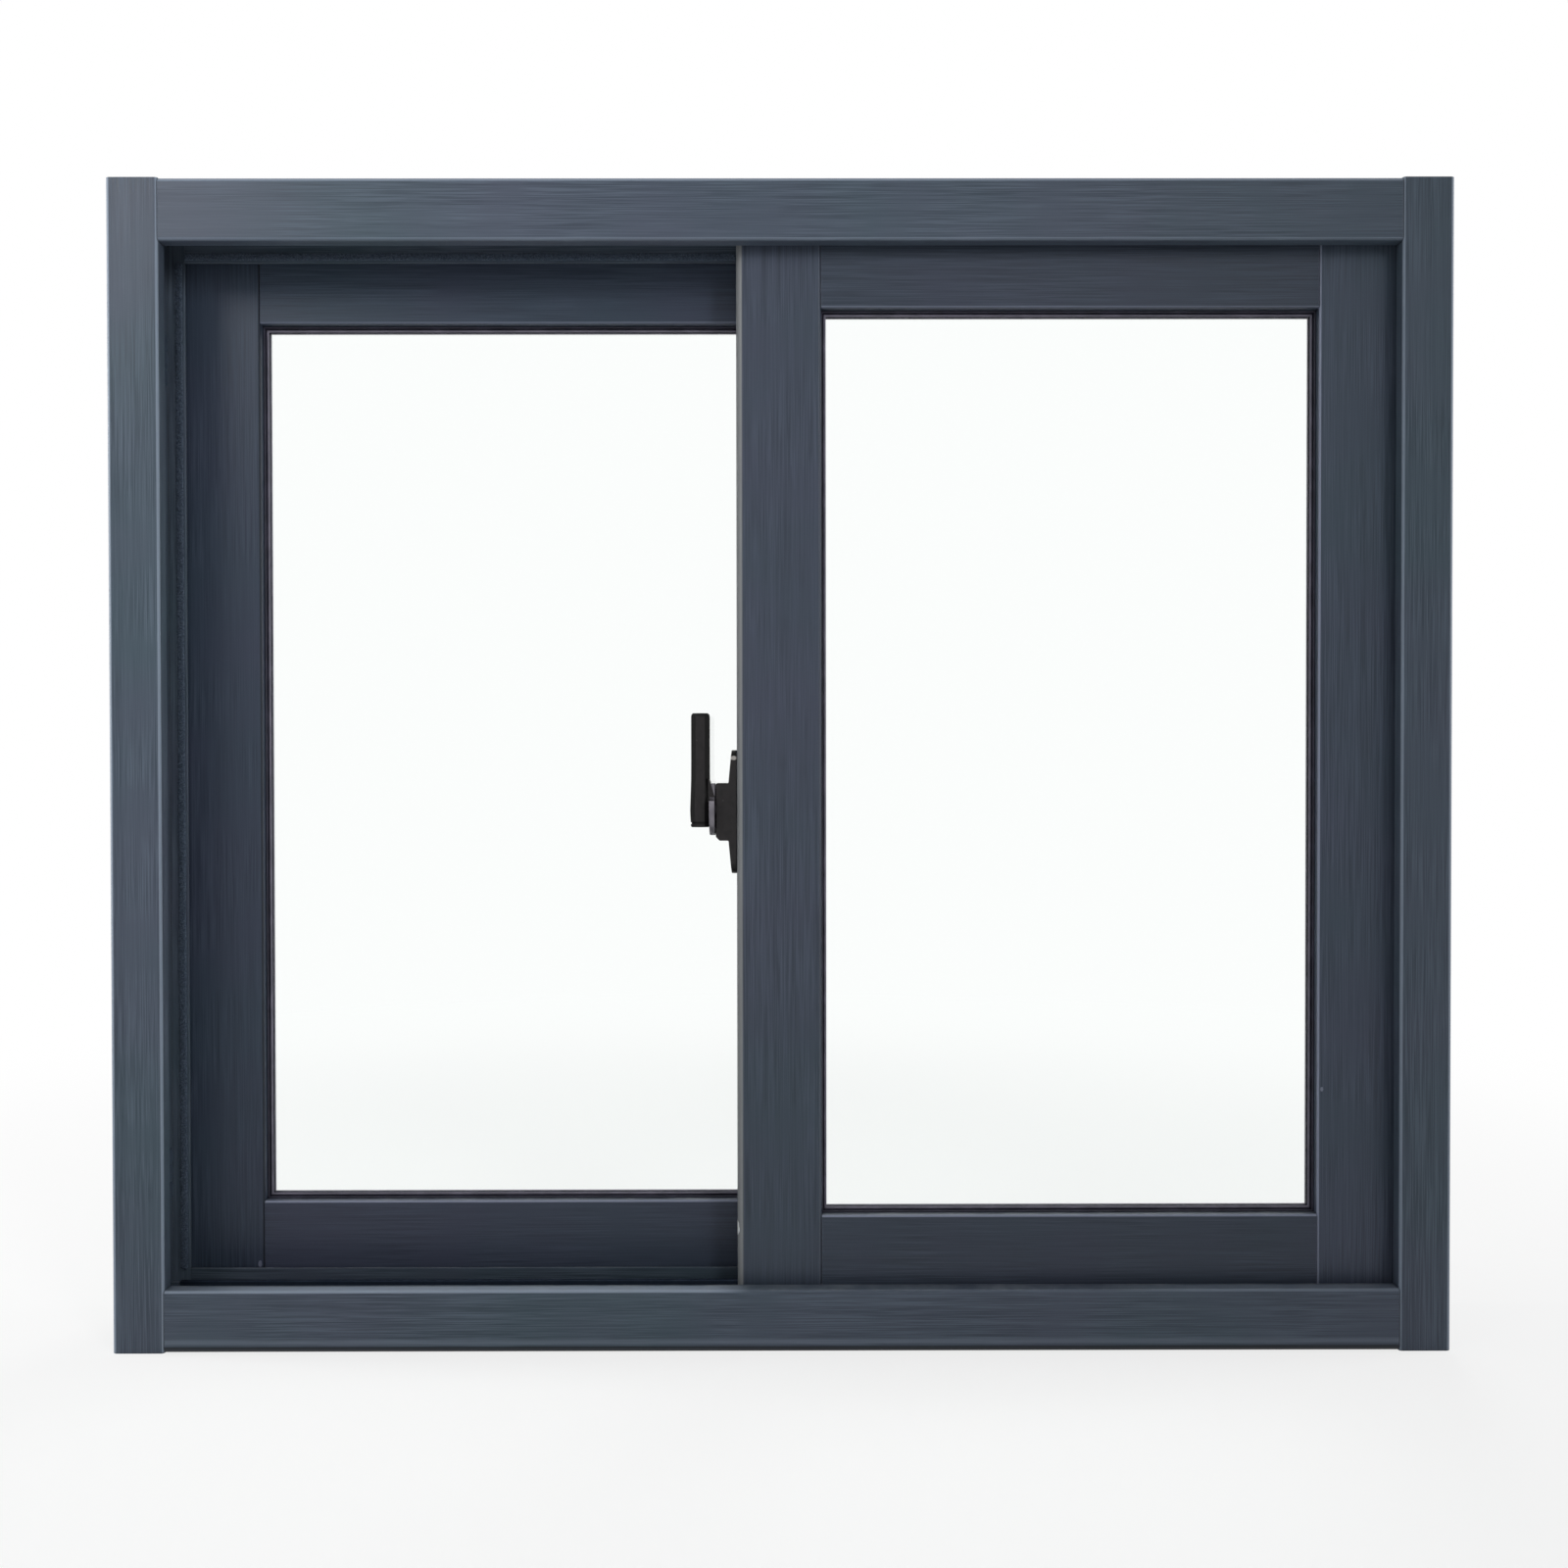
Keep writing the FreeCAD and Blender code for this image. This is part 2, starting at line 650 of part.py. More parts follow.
def make_cam(lever):
    """Crescent: a disc with a flat back edge and a raised rim, slotted for the lever's foot."""
    centre = Vector(LEVER_X, LOCK_Y, LOCK_HEIGHT)
    along = Vector(1, 0, 0)
    disc = cylinder(CAM_RADIUS, CAM_THICK, centre, along)
    inner = cylinder(CAM_RADIUS - CAM_RIM, CAM_THICK / 2, centre, along)
    hub = cylinder(SPINDLE_RADIUS + CAM_RIM, CAM_THICK, centre, along)
    cam = join([disc.cut(inner), hub])
    back = box(CAM_X + CUT_PAST, LOCK_Y + CAM_BACK, LOCK_HEIGHT - 2 * CAM_RADIUS,
               LEVER_X - CUT_PAST, LOCK_Y + 2 * CAM_RADIUS, LOCK_HEIGHT + 2 * CAM_RADIUS)
    return cam.cut([back, cylinder(SPINDLE_RADIUS, CAM_THICK, centre, along), lever])


def make_lever():
    """Upright lever: its room-side view and its side view, each with its own taper."""
    foot = LEVER_FOOT_WIDTH / 2
    tip = LEVER_TIP_WIDTH / 2
    bulge = LEVER_THICK + LEVER_BULGE

    def across(u, v):
        return Vector(LEVER_X - u, LOCK_Y - foot, LOCK_HEIGHT + v)

    def along(u, v):
        return Vector(LEVER_X + CAM_THICK, LOCK_Y + u, LOCK_HEIGHT + v)
    room_view = [
        (0, -LEVER_DOWN, LEVER_EDGE), (LEVER_THICK, -LEVER_DOWN, LEVER_ROUND), (bulge, 0, LEVER_ROUND),
        (LEVER_THICK, FOOT_TOP, LEVER_ROUND), (LEVER_THICK, LEVER_UP, LEVER_ROUND),
        (0, LEVER_UP, LEVER_ROUND), (0, FOOT_TOP, LEVER_EDGE),
        (-CAM_THICK, FOOT_POINT, FOOT_EDGE), (0, FOOT_POINT - FOOT_LIP, FOOT_EDGE),
    ]
    crown = tip * ROUND_SHARE
    side_view = [
        (-foot, -LEVER_DOWN, FOOT_ROUND), (foot, -LEVER_DOWN, FOOT_ROUND), (foot, FOOT_POINT, FOOT_BLEND),
        (tip, LEVER_WAIST, FOOT_BLEND), (tip, LEVER_UP, crown), (-tip, LEVER_UP, crown),
        (-tip, LEVER_WAIST, FOOT_BLEND), (-foot, FOOT_POINT, FOOT_BLEND),
    ]
    bar = prism(room_view, across, Vector(0, LEVER_FOOT_WIDTH, 0))
    return bar.common(prism(side_view, along, Vector(-CAM_THICK - bulge - CUT_PAST, 0, 0)))


def make_keeper():
    """Bent plate on the glass side of the rear meeting stile, behind the crescent."""
    face = -MEETING_END_X
    low = LOCK_HEIGHT - KEEPER_LENGTH / 2

    def place(u, v):
        return Vector(face - u, REAR_SASH_Y + v, low)
    front = KEEPER_SET_BACK
    outline = [
        (0, front, 0), (KEEPER_REACH, front, KEEPER_ROUND),
        (KEEPER_REACH, front + KEEPER_WALL, KEEPER_ROUND),
        (KEEPER_WALL, front + KEEPER_WALL, 0), (KEEPER_WALL, KEEPER_SEAT, 0), (0, KEEPER_SEAT, 0),
    ]
    return prism(outline, place, Vector(0, 0, KEEPER_LENGTH))


def sash_nodes(name, side, y0):
    """All the pieces of one sash; side is that of the jamb it closes against."""
    screws = screw_holes(sash_screws(side, y0))
    if side > 0:
        screws += screw_holes(lock_screws())
    meeting = make_stile(-side, y0, -side * MEETING_REACH, MEETING_ROUND)
    jamb = make_stile(side, y0, side * SASH_EDGE_X, EDGE_ROUND)
    return {
        name + "_meeting_stile": meeting.cut(screws),
        name + "_jamb_stile": jamb.cut(screws),
        name + "_top_rail": make_top_rail(side, y0),
        name + "_bottom_rail": make_bottom_rail(side, y0),
        name + "_glass": make_glass(side, y0),
        name + "_room_gasket": make_gasket(side, y0, False),
        name + "_outside_gasket": make_gasket(side, y0, True),
        name + "_rollers": make_rollers(side, y0),
        name + "_corner_screws": make_sash_screws(side, y0),
    }


def build():
    lever = make_lever()
    nodes = {
        "frame_jamb_left": make_jamb(-1),
        "frame_jamb_right": make_jamb(1),
        "frame_head": make_head(),
        "frame_sill": make_sill(),
        "front_track_cap": make_track_cap(front_centre()),
        "rear_track_cap": make_track_cap(rear_centre()),
        "head_pile": make_head_pile(),
        "sill_pile": make_sill_pile(),
        "left_jamb_pile": make_jamb_pile(-1),
        "right_jamb_pile": make_jamb_pile(1),
        "left_bumpers": make_bumpers(-1),
        "right_bumpers": make_bumpers(1),
        "left_frame_screws": make_frame_screws(-1),
        "right_frame_screws": make_frame_screws(1),
        "front_interlock": make_interlock(1, FRONT_SASH_Y + SASH_DEPTH, 1),
        "rear_interlock": make_interlock(-1, REAR_SASH_Y, -1),
        "lock_base": make_lock_base(),
        "lock_screws": make_lock_screws(),
        "lock_spindle": make_spindle(),
        "lock_cam": make_cam(lever),
        "lock_lever": lever,
        "lock_keeper": make_keeper(),
    }
    nodes.update(sash_nodes("front", 1, FRONT_SASH_Y))
    nodes.update(sash_nodes("rear", -1, REAR_SASH_Y))
    return nodes


os.makedirs("parts", exist_ok=True)
for name, shape in build().items():
    shape.exportStep("parts/" + name + ".step")
    bound = shape.BoundBox
    corners = (bound.XMin, bound.XMax, bound.YMin, bound.YMax, bound.ZMin, bound.ZMax)
    print(name, len(shape.Solids), shape.isValid(), [round(corner, 2) for corner in corners])
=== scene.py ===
import bmesh
import bpy
import json
import math
import random

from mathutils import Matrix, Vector
from mathutils.geometry import tessellate_polygon

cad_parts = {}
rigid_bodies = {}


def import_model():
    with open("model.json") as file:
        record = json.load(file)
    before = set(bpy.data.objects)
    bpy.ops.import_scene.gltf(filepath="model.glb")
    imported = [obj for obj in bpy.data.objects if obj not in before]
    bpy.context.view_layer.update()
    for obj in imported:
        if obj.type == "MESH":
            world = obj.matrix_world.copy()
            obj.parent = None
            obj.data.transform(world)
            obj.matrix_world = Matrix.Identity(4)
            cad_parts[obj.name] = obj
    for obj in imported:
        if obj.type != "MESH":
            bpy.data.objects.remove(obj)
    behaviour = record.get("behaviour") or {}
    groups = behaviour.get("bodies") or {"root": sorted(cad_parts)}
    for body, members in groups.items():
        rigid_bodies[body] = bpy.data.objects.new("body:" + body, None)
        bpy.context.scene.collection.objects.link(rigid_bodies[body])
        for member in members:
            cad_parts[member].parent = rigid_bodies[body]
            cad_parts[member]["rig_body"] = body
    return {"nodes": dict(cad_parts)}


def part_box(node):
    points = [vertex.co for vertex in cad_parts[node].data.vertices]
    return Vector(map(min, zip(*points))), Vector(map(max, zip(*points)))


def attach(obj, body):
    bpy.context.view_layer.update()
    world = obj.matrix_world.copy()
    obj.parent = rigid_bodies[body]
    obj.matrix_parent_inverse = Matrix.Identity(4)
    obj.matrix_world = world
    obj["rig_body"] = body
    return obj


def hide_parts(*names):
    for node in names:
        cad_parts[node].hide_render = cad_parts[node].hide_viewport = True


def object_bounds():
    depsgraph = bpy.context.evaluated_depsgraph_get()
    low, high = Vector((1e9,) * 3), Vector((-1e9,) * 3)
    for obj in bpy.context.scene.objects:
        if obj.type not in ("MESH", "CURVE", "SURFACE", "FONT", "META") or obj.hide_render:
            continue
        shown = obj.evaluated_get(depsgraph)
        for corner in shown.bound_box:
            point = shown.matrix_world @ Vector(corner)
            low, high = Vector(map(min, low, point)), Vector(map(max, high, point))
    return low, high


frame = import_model()
cad_low, cad_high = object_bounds()
window = frame["nodes"]
scene = bpy.context.scene

MM = 0.001

# Where the picture was taken from: metres and radians in the window's own frame
FOCAL_PX = 1620.2
PICTURE_PX = 1600
SENSOR_MM = 36.0
CAMERA_AT = (-0.0013, -1.2707, 0.4526)
CAMERA_TILT = 0.0127
CAMERA_PAN = -0.0026
CAMERA_ROLL = 0.0013


def shade(red, green, blue):
    """A colour as it is seen on screen, 0 to 255, turned into the linear values that shaders take."""
    def linear(value):
        share = value / 255
        return share / 12.92 if share <= 0.04045 else ((share + 0.055) / 1.055) ** 2.4
    return (linear(red), linear(green), linear(blue), 1.0)


# Shader trees

def feed(tree, socket, value):
    """Give a socket a plain value, or link it to the output that feeds it."""
    if isinstance(value, bpy.types.NodeSocket):
        tree.links.new(value, socket)
    else:
        socket.default_value = value


def place_node(tree, kind, inputs=None, **settings):
    """Add a node. Each input takes a plain value, or the output that feeds it."""
    made = tree.nodes.new(kind)
    for name, value in settings.items():
        setattr(made, name, value)
    for name, value in (inputs or {}).items():
        feed(tree, made.inputs[name], value)
    return made


def calculate(tree, operation, first, second=0.0, clamp=False):
    """Result of one sum, product or comparison."""
    return place_node(tree, "ShaderNodeMath", {0: first, 1: second},
                      operation=operation, use_clamp=clamp).outputs[0]


def multiply(tree, first, second, clamp=False):
    return calculate(tree, "MULTIPLY", first, second, clamp)


def remap(tree, value, low, high, new_low=0.0, new_high=1.0):
    """Value moved softly from one range to another, and held at its ends."""
    made = place_node(tree, "ShaderNodeMapRange", {
        "Value": value, "From Min": low, "From Max": high, "To Min": new_low, "To Max": new_high,
    }, interpolation_type="SMOOTHSTEP")
    return made.outputs["Result"]


def combine_vectors(tree, operation, first, second):
    return place_node(tree, "ShaderNodeVectorMath", {0: first, 1: second}, operation=operation).outputs[0]


def split(tree, vector):
    """The X, Y and Z of a vector."""
    return place_node(tree, "ShaderNodeSeparateXYZ", {0: vector}).outputs


def clouds(tree, position, scale, detail, roughness=0.5, distortion=0.0):
    """Soft uneven values about a half."""
    return place_node(tree, "ShaderNodeTexNoise", {
        "Vector": position, "Scale": scale, "Detail": detail, "Roughness": roughness,
        "Distortion": distortion}).outputs["Fac"]


def blend_colours(tree, share, first, second):
    """From the first colour to the second, by a share of 0 to 1."""
    made = place_node(tree, "ShaderNodeMix", data_type="RGBA")
    colours = [socket for socket in made.inputs if socket.type == "RGBA"]
    for socket, value in zip([made.inputs[0]] + colours, (share, first, second)):
        feed(tree, socket, value)
    return next(socket for socket in made.outputs if socket.type == "RGBA")


def surface(tree, kind):
    """The surface's Normal, True Normal or Position."""
    return place_node(tree, "ShaderNodeNewGeometry").outputs[kind]


# Effects that several finishes use, each a node group

def new_effect(name, inputs, outputs):
    """Empty node group with named sockets; returns the tree and its two ends."""
    tree = bpy.data.node_groups.new(name, "ShaderNodeTree")
    for label, (kind, value) in inputs.items():
        socket = tree.interface.new_socket(name=label, in_out="INPUT", socket_type="NodeSocket" + kind)
        socket.default_value = value
    for label, kind in outputs.items():
        tree.interface.new_socket(name=label, in_out="OUTPUT", socket_type="NodeSocket" + kind)
    return tree, tree.nodes.new("NodeGroupInput").outputs, tree.nodes.new("NodeGroupOutput").inputs


def lengthwise_grain():
    """Fine broken streaks along a drawn section, in clusters, and the slow drift of tone with them."""
    tree, given, result = new_effect("lengthwise grain", {
        "Position": ("Vector", (0, 0, 0)), "Stretch": ("Vector", (1, 1, 1)),
    }, {"Streaks": "Float", "Hairlines": "Float", "Drift": "Float"})
    drawn = combine_vectors(tree, "MULTIPLY", given["Position"], given["Stretch"])
    broad = clouds(tree, drawn, 1.0, 2.0)
    fine = clouds(tree, drawn, 3.7, 2.0, roughness=0.6)
    drift = clouds(tree, given["Position"], 7.0, 3.0)
    cluster = remap(tree, clouds(tree, given["Position"], 17.0, 2.0), 0.36, 0.62, 0.3, 1.25)

    def clustered(value):
        centred = calculate(tree, "SUBTRACT", value, 0.5)
        return calculate(tree, "ADD", multiply(tree, centred, cluster), 0.5, clamp=True)
    tree.links.new(clustered(remap(tree, broad, 0.28, 0.72)), result["Streaks"])
    tree.links.new(clustered(remap(tree, fine, 0.3, 0.7)), result["Hairlines"])
    tree.links.new(remap(tree, drift, 0.3, 0.7), result["Drift"])
    return tree


def rounded_arris():
    """How much a spot lies on an edge or on a rolled corner, and the normal that an eased edge has."""
    tree, given, result = new_effect("rounded arris", {
        "Radius": ("Float", 0.001), "Width": ("Float", 1.0), "Rolled": ("Float", 1.0),
    }, {"Edge": "Float", "Flat": "Float", "Normal": "Vector"})
    eased = place_node(tree, "ShaderNodeBevel", {"Radius": given["Radius"]}, samples=6).outputs[0]
    flat = surface(tree, "Normal")
    turned = place_node(tree, "ShaderNodeVectorMath", {0: eased, 1: flat},
                        operation="DOT_PRODUCT").outputs["Value"]
    sharp = multiply(tree, calculate(tree, "SUBTRACT", 1.0, turned), given["Width"], clamp=True)
    size = place_node(tree, "ShaderNodeVectorMath", {0: flat}, operation="ABSOLUTE").outputs[0]
    parts = split(tree, size)
    largest = calculate(tree, "MAXIMUM", calculate(tree, "MAXIMUM", parts["X"], parts["Y"]), parts["Z"])
    oblique = remap(tree, calculate(tree, "SUBTRACT", 1.0, largest), 0.003, 0.06)
    rolled = multiply(tree, oblique, given["Rolled"])
    tree.links.new(calculate(tree, "MAXIMUM", sharp, rolled), result["Edge"])
    tree.links.new(calculate(tree, "SUBTRACT", 1.0, oblique), result["Flat"])
    tree.links.new(eased, result["Normal"])
    return tree


def joint_shade_and_grime():
    """Painted shade, with some grime, where pieces meet and in tight corners, darker the more closed in a
    spot is.
    """
    tree, given, result = new_effect("joint shade and grime", {
        "Reach": ("Float", 0.002), "Amount": ("Float", 0.7),
    }, {"Shade and grime": "Float"})
    closed = place_node(tree, "ShaderNodeAmbientOcclusion", {"Distance": given["Reach"]}, samples=6)
    tucked = remap(tree, closed.outputs["AO"], 0.25, 0.85, 1.0, 0.0)
    tree.links.new(multiply(tree, tucked, given["Amount"], clamp=True), result["Shade and grime"])
    return tree


def orange_peel():
    """Low pebbled relief of a sprayed or cast skin."""
    tree, given, result = new_effect("orange peel", {
        "Position": ("Vector", (0, 0, 0)), "Grain": ("Float", 700.0),
    }, {"Relief": "Float"})
    broad = clouds(tree, given["Position"], given["Grain"], 2.0)
    fine = clouds(tree, given["Position"], multiply(tree, given["Grain"], 3.3), 1.0)
    tree.links.new(calculate(tree, "ADD", broad, multiply(tree, fine, 0.4)), result["Relief"])
    return tree


def upward_dust_and_light():
    """Dust and painted top light on what faces up, in soft patches."""
    tree, given, result = new_effect("dust and top light", {
        "Position": ("Vector", (0, 0, 0)), "Amount": ("Float", 0.5),
    }, {"Dust and top light": "Float"})
    lying = remap(tree, split(tree, surface(tree, "Normal"))["Z"], 0.45, 0.98)
    patch = clouds(tree, given["Position"], 38.0, 6.0, roughness=0.7)
    share = multiply(tree, lying, remap(tree, patch, 0.3, 0.8))
    tree.links.new(multiply(tree, share, given["Amount"], clamp=True), result["Dust and top light"])
    return tree


def stray_specks():
    """Sparse small chips and specks."""
    tree, given, result = new_effect("stray specks", {
        "Position": ("Vector", (0, 0, 0)), "Spread": ("Float", 60.0), "Size": ("Float", 0.05),
        "Share": ("Float", 0.1),
    }, {"Speck": "Float"})
    cells = place_node(tree, "ShaderNodeTexVoronoi", {
        "Vector": given["Position"], "Scale": given["Spread"], "Randomness": 1.0})
    near = calculate(tree, "LESS_THAN", cells.outputs["Distance"], given["Size"])
    pick = place_node(tree, "ShaderNodeSeparateColor", {0: cells.outputs["Color"]}).outputs["Red"]
    chosen = calculate(tree, "LESS_THAN", pick, given["Share"])
    tree.links.new(multiply(tree, near, chosen), result["Speck"])
    return tree


def ragged_patch():
    """One ragged patch at a given place."""
    tree, given, result = new_effect("ragged patch", {
        "Position": ("Vector", (0, 0, 0)), "Centre": ("Vector", (0, 0, 0)),
        "Size": ("Vector", (0.001, 0.001, 0.001)), "Ragged": ("Float", 0.35),
    }, {"Patch": "Float"})
    away = combine_vectors(tree, "SUBTRACT", given["Position"], given["Centre"])
    scaled = combine_vectors(tree, "DIVIDE", away, given["Size"])
    reach = place_node(tree, "ShaderNodeVectorMath", {0: scaled}, operation="LENGTH").outputs["Value"]
    uneven = calculate(tree, "SUBTRACT", clouds(tree, scaled, 2.2, 3.0), 0.5)
    torn = multiply(tree, multiply(tree, uneven, given["Ragged"]), 2.0)
    tree.links.new(remap(tree, calculate(tree, "ADD", reach, torn), 0.85, 1.0, 1.0, 0.0), result["Patch"])
    return tree


GRAIN = lengthwise_grain()
ARRIS = rounded_arris()
SHADE_AND_GRIME = joint_shade_and_grime()
PEEL = orange_peel()
DUST_AND_TOP_LIGHT = upward_dust_and_light()
SPECKS = stray_specks()
PALE_PATCH = ragged_patch()


def use_effect(tree, effect, **inputs):
    return place_node(tree, "ShaderNodeGroup", inputs, node_tree=effect).outputs


# Finishes

def new_finish(name, **plain):
    """Material with one Principled shader; plain gives the values that are the same all over."""
    finish = bpy.data.materials.new(name)
    finish.use_nodes = True
    tree = finish.node_tree
    skin = tree.nodes["Principled BSDF"]
    for label, value in plain.items():
        skin.inputs[label.replace("_", " ")].default_value = value
    position = place_node(tree, "ShaderNodeTexCoord").outputs["Object"]
    return finish, tree, skin.inputs, position


def relief(tree, height, distance, normal=None):
    inputs = {"Height": height, "Distance": distance, "Strength": 1.0}
    if normal is not None:
        inputs["Normal"] = normal
    return place_node(tree, "ShaderNodeBump", inputs).outputs[0]


# How each drawn section's grain is stretched, and the axis that it was sawn across
DRAWN = {"upright": ((300.0, 300.0, 4.0), "Z"), "level": ((4.0, 300.0, 300.0), "X")}

# Depths, heights and stretches along the window where painted shade, painted highlights and a paler low rail
# go on its coating, in metres
CHANNEL_MOUTH = 46 * MM
CHANNEL_INSIDE = 43 * MM
CHANNEL_FLOOR = (52 * MM, 60 * MM)
SILL_LIP = (42 * MM, 46 * MM)
SILL_TOP = (50 * MM, 54 * MM)
LIP_START = (-480 * MM, -390 * MM)
SASH_START = (-60 * MM, -20 * MM)
SASH_FADE = (230 * MM, 330 * MM)
FOOT_SHADE = (4.0 * MM, 5.8 * MM)
FOOT_RISE = (5.5 * MM, 7.5 * MM)
FOOT_FALL = (8.5 * MM, 12.0 * MM)
LOW_RAIL = (100 * MM, 200 * MM)

STREAK_SHARE = 0.37
PALE_SPOT_TONE = shade(226, 228, 228)
SAWN_TONE = shade(188, 190, 192)
SPECK_TONE = shade(150, 156, 162)
# Pale tone of the dust and painted top light
DUST_AND_LIGHT_TONE = shade(142, 147, 152)
LOW_PALE_TONE = shade(122, 116, 138)
# Tone of the painted shade in joints, in the sill's channel and at its foot
SHADE_TONE = shade(20, 23, 28)


def coating_tone(tree, grain, tones):
    """The coating itself: a slow drift of tone under broken streaks and hairlines."""
    deep, teal, violet, pale = tones
    drifting = blend_colours(tree, grain["Drift"], teal, violet)
    streaked = blend_colours(tree, grain["Streaks"], deep, pale)
    tone = blend_colours(tree, STREAK_SHARE, drifting, streaked)
    hairline = remap(tree, grain["Hairlines"], 0.0, 1.0, -0.5, 0.5)
    tone = blend_colours(tree, calculate(tree, "MAXIMUM", hairline, 0.0), tone, pale)
    dark_line = calculate(tree, "MAXIMUM", multiply(tree, hairline, -1.0), 0.0)
    return blend_colours(tree, dark_line, tone, deep)


def in_channel(tree, place):
    """1 in the channel that the sashes run in, 0 on the frame's front and back."""
    return multiply(tree, remap(tree, place["Y"], -CHANNEL_MOUTH, -CHANNEL_INSIDE),
                    remap(tree, place["Y"], CHANNEL_INSIDE, CHANNEL_MOUTH, 1.0, 0.0))


def beside_front_sash(tree, place):
    """1 where the closed front sash stands, from its meeting stile on, and less near the right jamb."""
    return multiply(tree, remap(tree, place["X"], *SASH_START),
                    remap(tree, place["X"], *SASH_FADE, 1.0, 0.7))


def paint_sill_lighting(tree, tone, place, upward, channel, beside_sash, lip_highlight_tone):
    """Painted shade on the channel's floor and at the sill's foot, a painted highlight on the lip, and a
    painted highlight band just above the foot.
    """
    height = place["Z"]
    # Painted shade on the channel's floor
    channel_shade = multiply(tree, channel, remap(tree, height, *CHANNEL_FLOOR, 0.22, 0.0))
    tone = blend_colours(tree, channel_shade, tone, SHADE_TONE)
    # Painted highlight on the sill's lip, dimmed near the left jamb and beside the front sash as if shaded
    # by them
    lip = remap(tree, upward, 0.2, 0.8, 0.0, 0.75)
    for limit in (remap(tree, height, *SILL_LIP),
                  remap(tree, height, *SILL_TOP, 1.0, 0.0),
                  remap(tree, channel, 0.0, 1.0, 1.0, 0.0),
                  calculate(tree, "SUBTRACT", 1.0, beside_sash),
                  remap(tree, place["X"], *LIP_START, 0.2, 1.0)):
        lip = multiply(tree, lip, limit)
    tone = blend_colours(tree, lip, tone, lip_highlight_tone)
    # Painted highlight band just above the foot
    foot_highlight = multiply(tree, remap(tree, height, *FOOT_RISE, 0.0, 0.2),
                     remap(tree, height, *FOOT_FALL, 1.0, 0.0))
    tone = blend_colours(tree, foot_highlight, tone, lip_highlight_tone)
    # Painted shade at the very foot
    return blend_colours(tree, remap(tree, height, *FOOT_SHADE, 0.85, 0.0), tone, SHADE_TONE)


def coated_aluminium(name, runs, tones, edge_lighting_tone, edge_lighting_share, pale_spots=(), calm_channel=0.0, plus_x_edge_lighting=1.0,
                     sill_lighting=False, paler_low=0.0):
    """Blue-grey coating on aluminium, with a painted highlight on its edges, least on those that face down,
    and bare where sawn.
    """
    finish, tree, skin, position = new_finish(name, Specular_IOR_Level=0.24, IOR=1.5)
    stretch, sawn_axis = DRAWN[runs]
    grain = use_effect(tree, GRAIN, Position=position, Stretch=stretch)
    arris = use_effect(tree, ARRIS, Radius=1.2 * MM, Width=2.0, Rolled=1.0)
    # Painted shade, with some grime, in joints and tight corners
    shade_and_grime = use_effect(tree, SHADE_AND_GRIME, Reach=2.6 * MM, Amount=0.75)["Shade and grime"]
    peel = use_effect(tree, PEEL, Position=position, Grain=900.0)["Relief"]
    # Dust, and painted top light, paler on what faces up
    dust_and_top_light = use_effect(tree, DUST_AND_TOP_LIGHT, Position=position, Amount=0.42)["Dust and top light"]
    speck = use_effect(tree, SPECKS, Position=position, Spread=26.0, Size=0.025, Share=0.07)["Speck"]
    facing = split(tree, arris["Normal"])
    place = split(tree, position)
    channel = in_channel(tree, place)
    tone = coating_tone(tree, grain, tones)

    # Painted highlight on edges, least on those that face down, as if lit from above
    edge_lighting = remap(tree, facing["Z"], -0.6, -0.05, edge_lighting_share * 0.25, edge_lighting_share)
    # Edges that face +X keep less painted highlight, as if lit from the left
    if plus_x_edge_lighting < 1.0:
        edge_lighting = multiply(tree, edge_lighting, remap(tree, facing["X"], 0.1, 0.4, 1.0, plus_x_edge_lighting))
    # Beside the closed front sash the sill's edge highlights get painted shade
    if sill_lighting:
        beside_sash = beside_front_sash(tree, place)
        sash_shade = multiply(tree, beside_sash, remap(tree, place["Z"], *SILL_TOP, 0.9, 0.0))
        edge_lighting = multiply(tree, edge_lighting, calculate(tree, "SUBTRACT", 1.0, sash_shade))
    # Painted highlights are calmed in the channel, which lies in shade
    edge_lighting = multiply(tree, edge_lighting, remap(tree, channel, 0.0, 1.0, 1.0, 1.0 - calm_channel))
    tone = blend_colours(tree, multiply(tree, arris["Edge"], edge_lighting, clamp=True), tone, edge_lighting_tone)
    if sill_lighting:
        tone = paint_sill_lighting(tree, tone, place, facing["Z"], channel, beside_sash, edge_lighting_tone)
    # The rail grows paler towards its bottom
    if paler_low:
        low = remap(tree, place["Z"], *LOW_RAIL, paler_low, 0.0)
        tone = blend_colours(tree, low, tone, LOW_PALE_TONE)
    tone = blend_colours(tree, dust_and_top_light, tone, DUST_AND_LIGHT_TONE)
    tone = blend_colours(tree, shade_and_grime, tone, SHADE_TONE)
    tone = blend_colours(tree, multiply(tree, speck, 0.6), tone, SPECK_TONE)
    # Pale spots painted on the coating
    for centre, size, spot_tone in pale_spots:
        pale_patch = use_effect(tree, PALE_PATCH, Position=position, Centre=centre, Size=size, Ragged=0.35)["Patch"]
        tone = blend_colours(tree, pale_patch, tone, spot_tone)
    across = calculate(tree, "ABSOLUTE", split(tree, surface(tree, "True Normal"))[sawn_axis])
    sawn = calculate(tree, "GREATER_THAN", across, 0.999)

    rough = remap(tree, grain["Hairlines"], 0.0, 1.0, 0.36, 0.48)
    rough = calculate(tree, "ADD", rough, multiply(tree, dust_and_top_light, 0.35), clamp=True)
    height = calculate(tree, "ADD", multiply(tree, grain["Hairlines"], 0.8), peel)
    tree.links.new(blend_colours(tree, sawn, tone, SAWN_TONE), skin["Base Color"])
    tree.links.new(rough, skin["Roughness"])
    tree.links.new(sawn, skin["Metallic"])
    tree.links.new(relief(tree, height, 0.02 * MM, arris["Normal"]), skin["Normal"])
    return finish


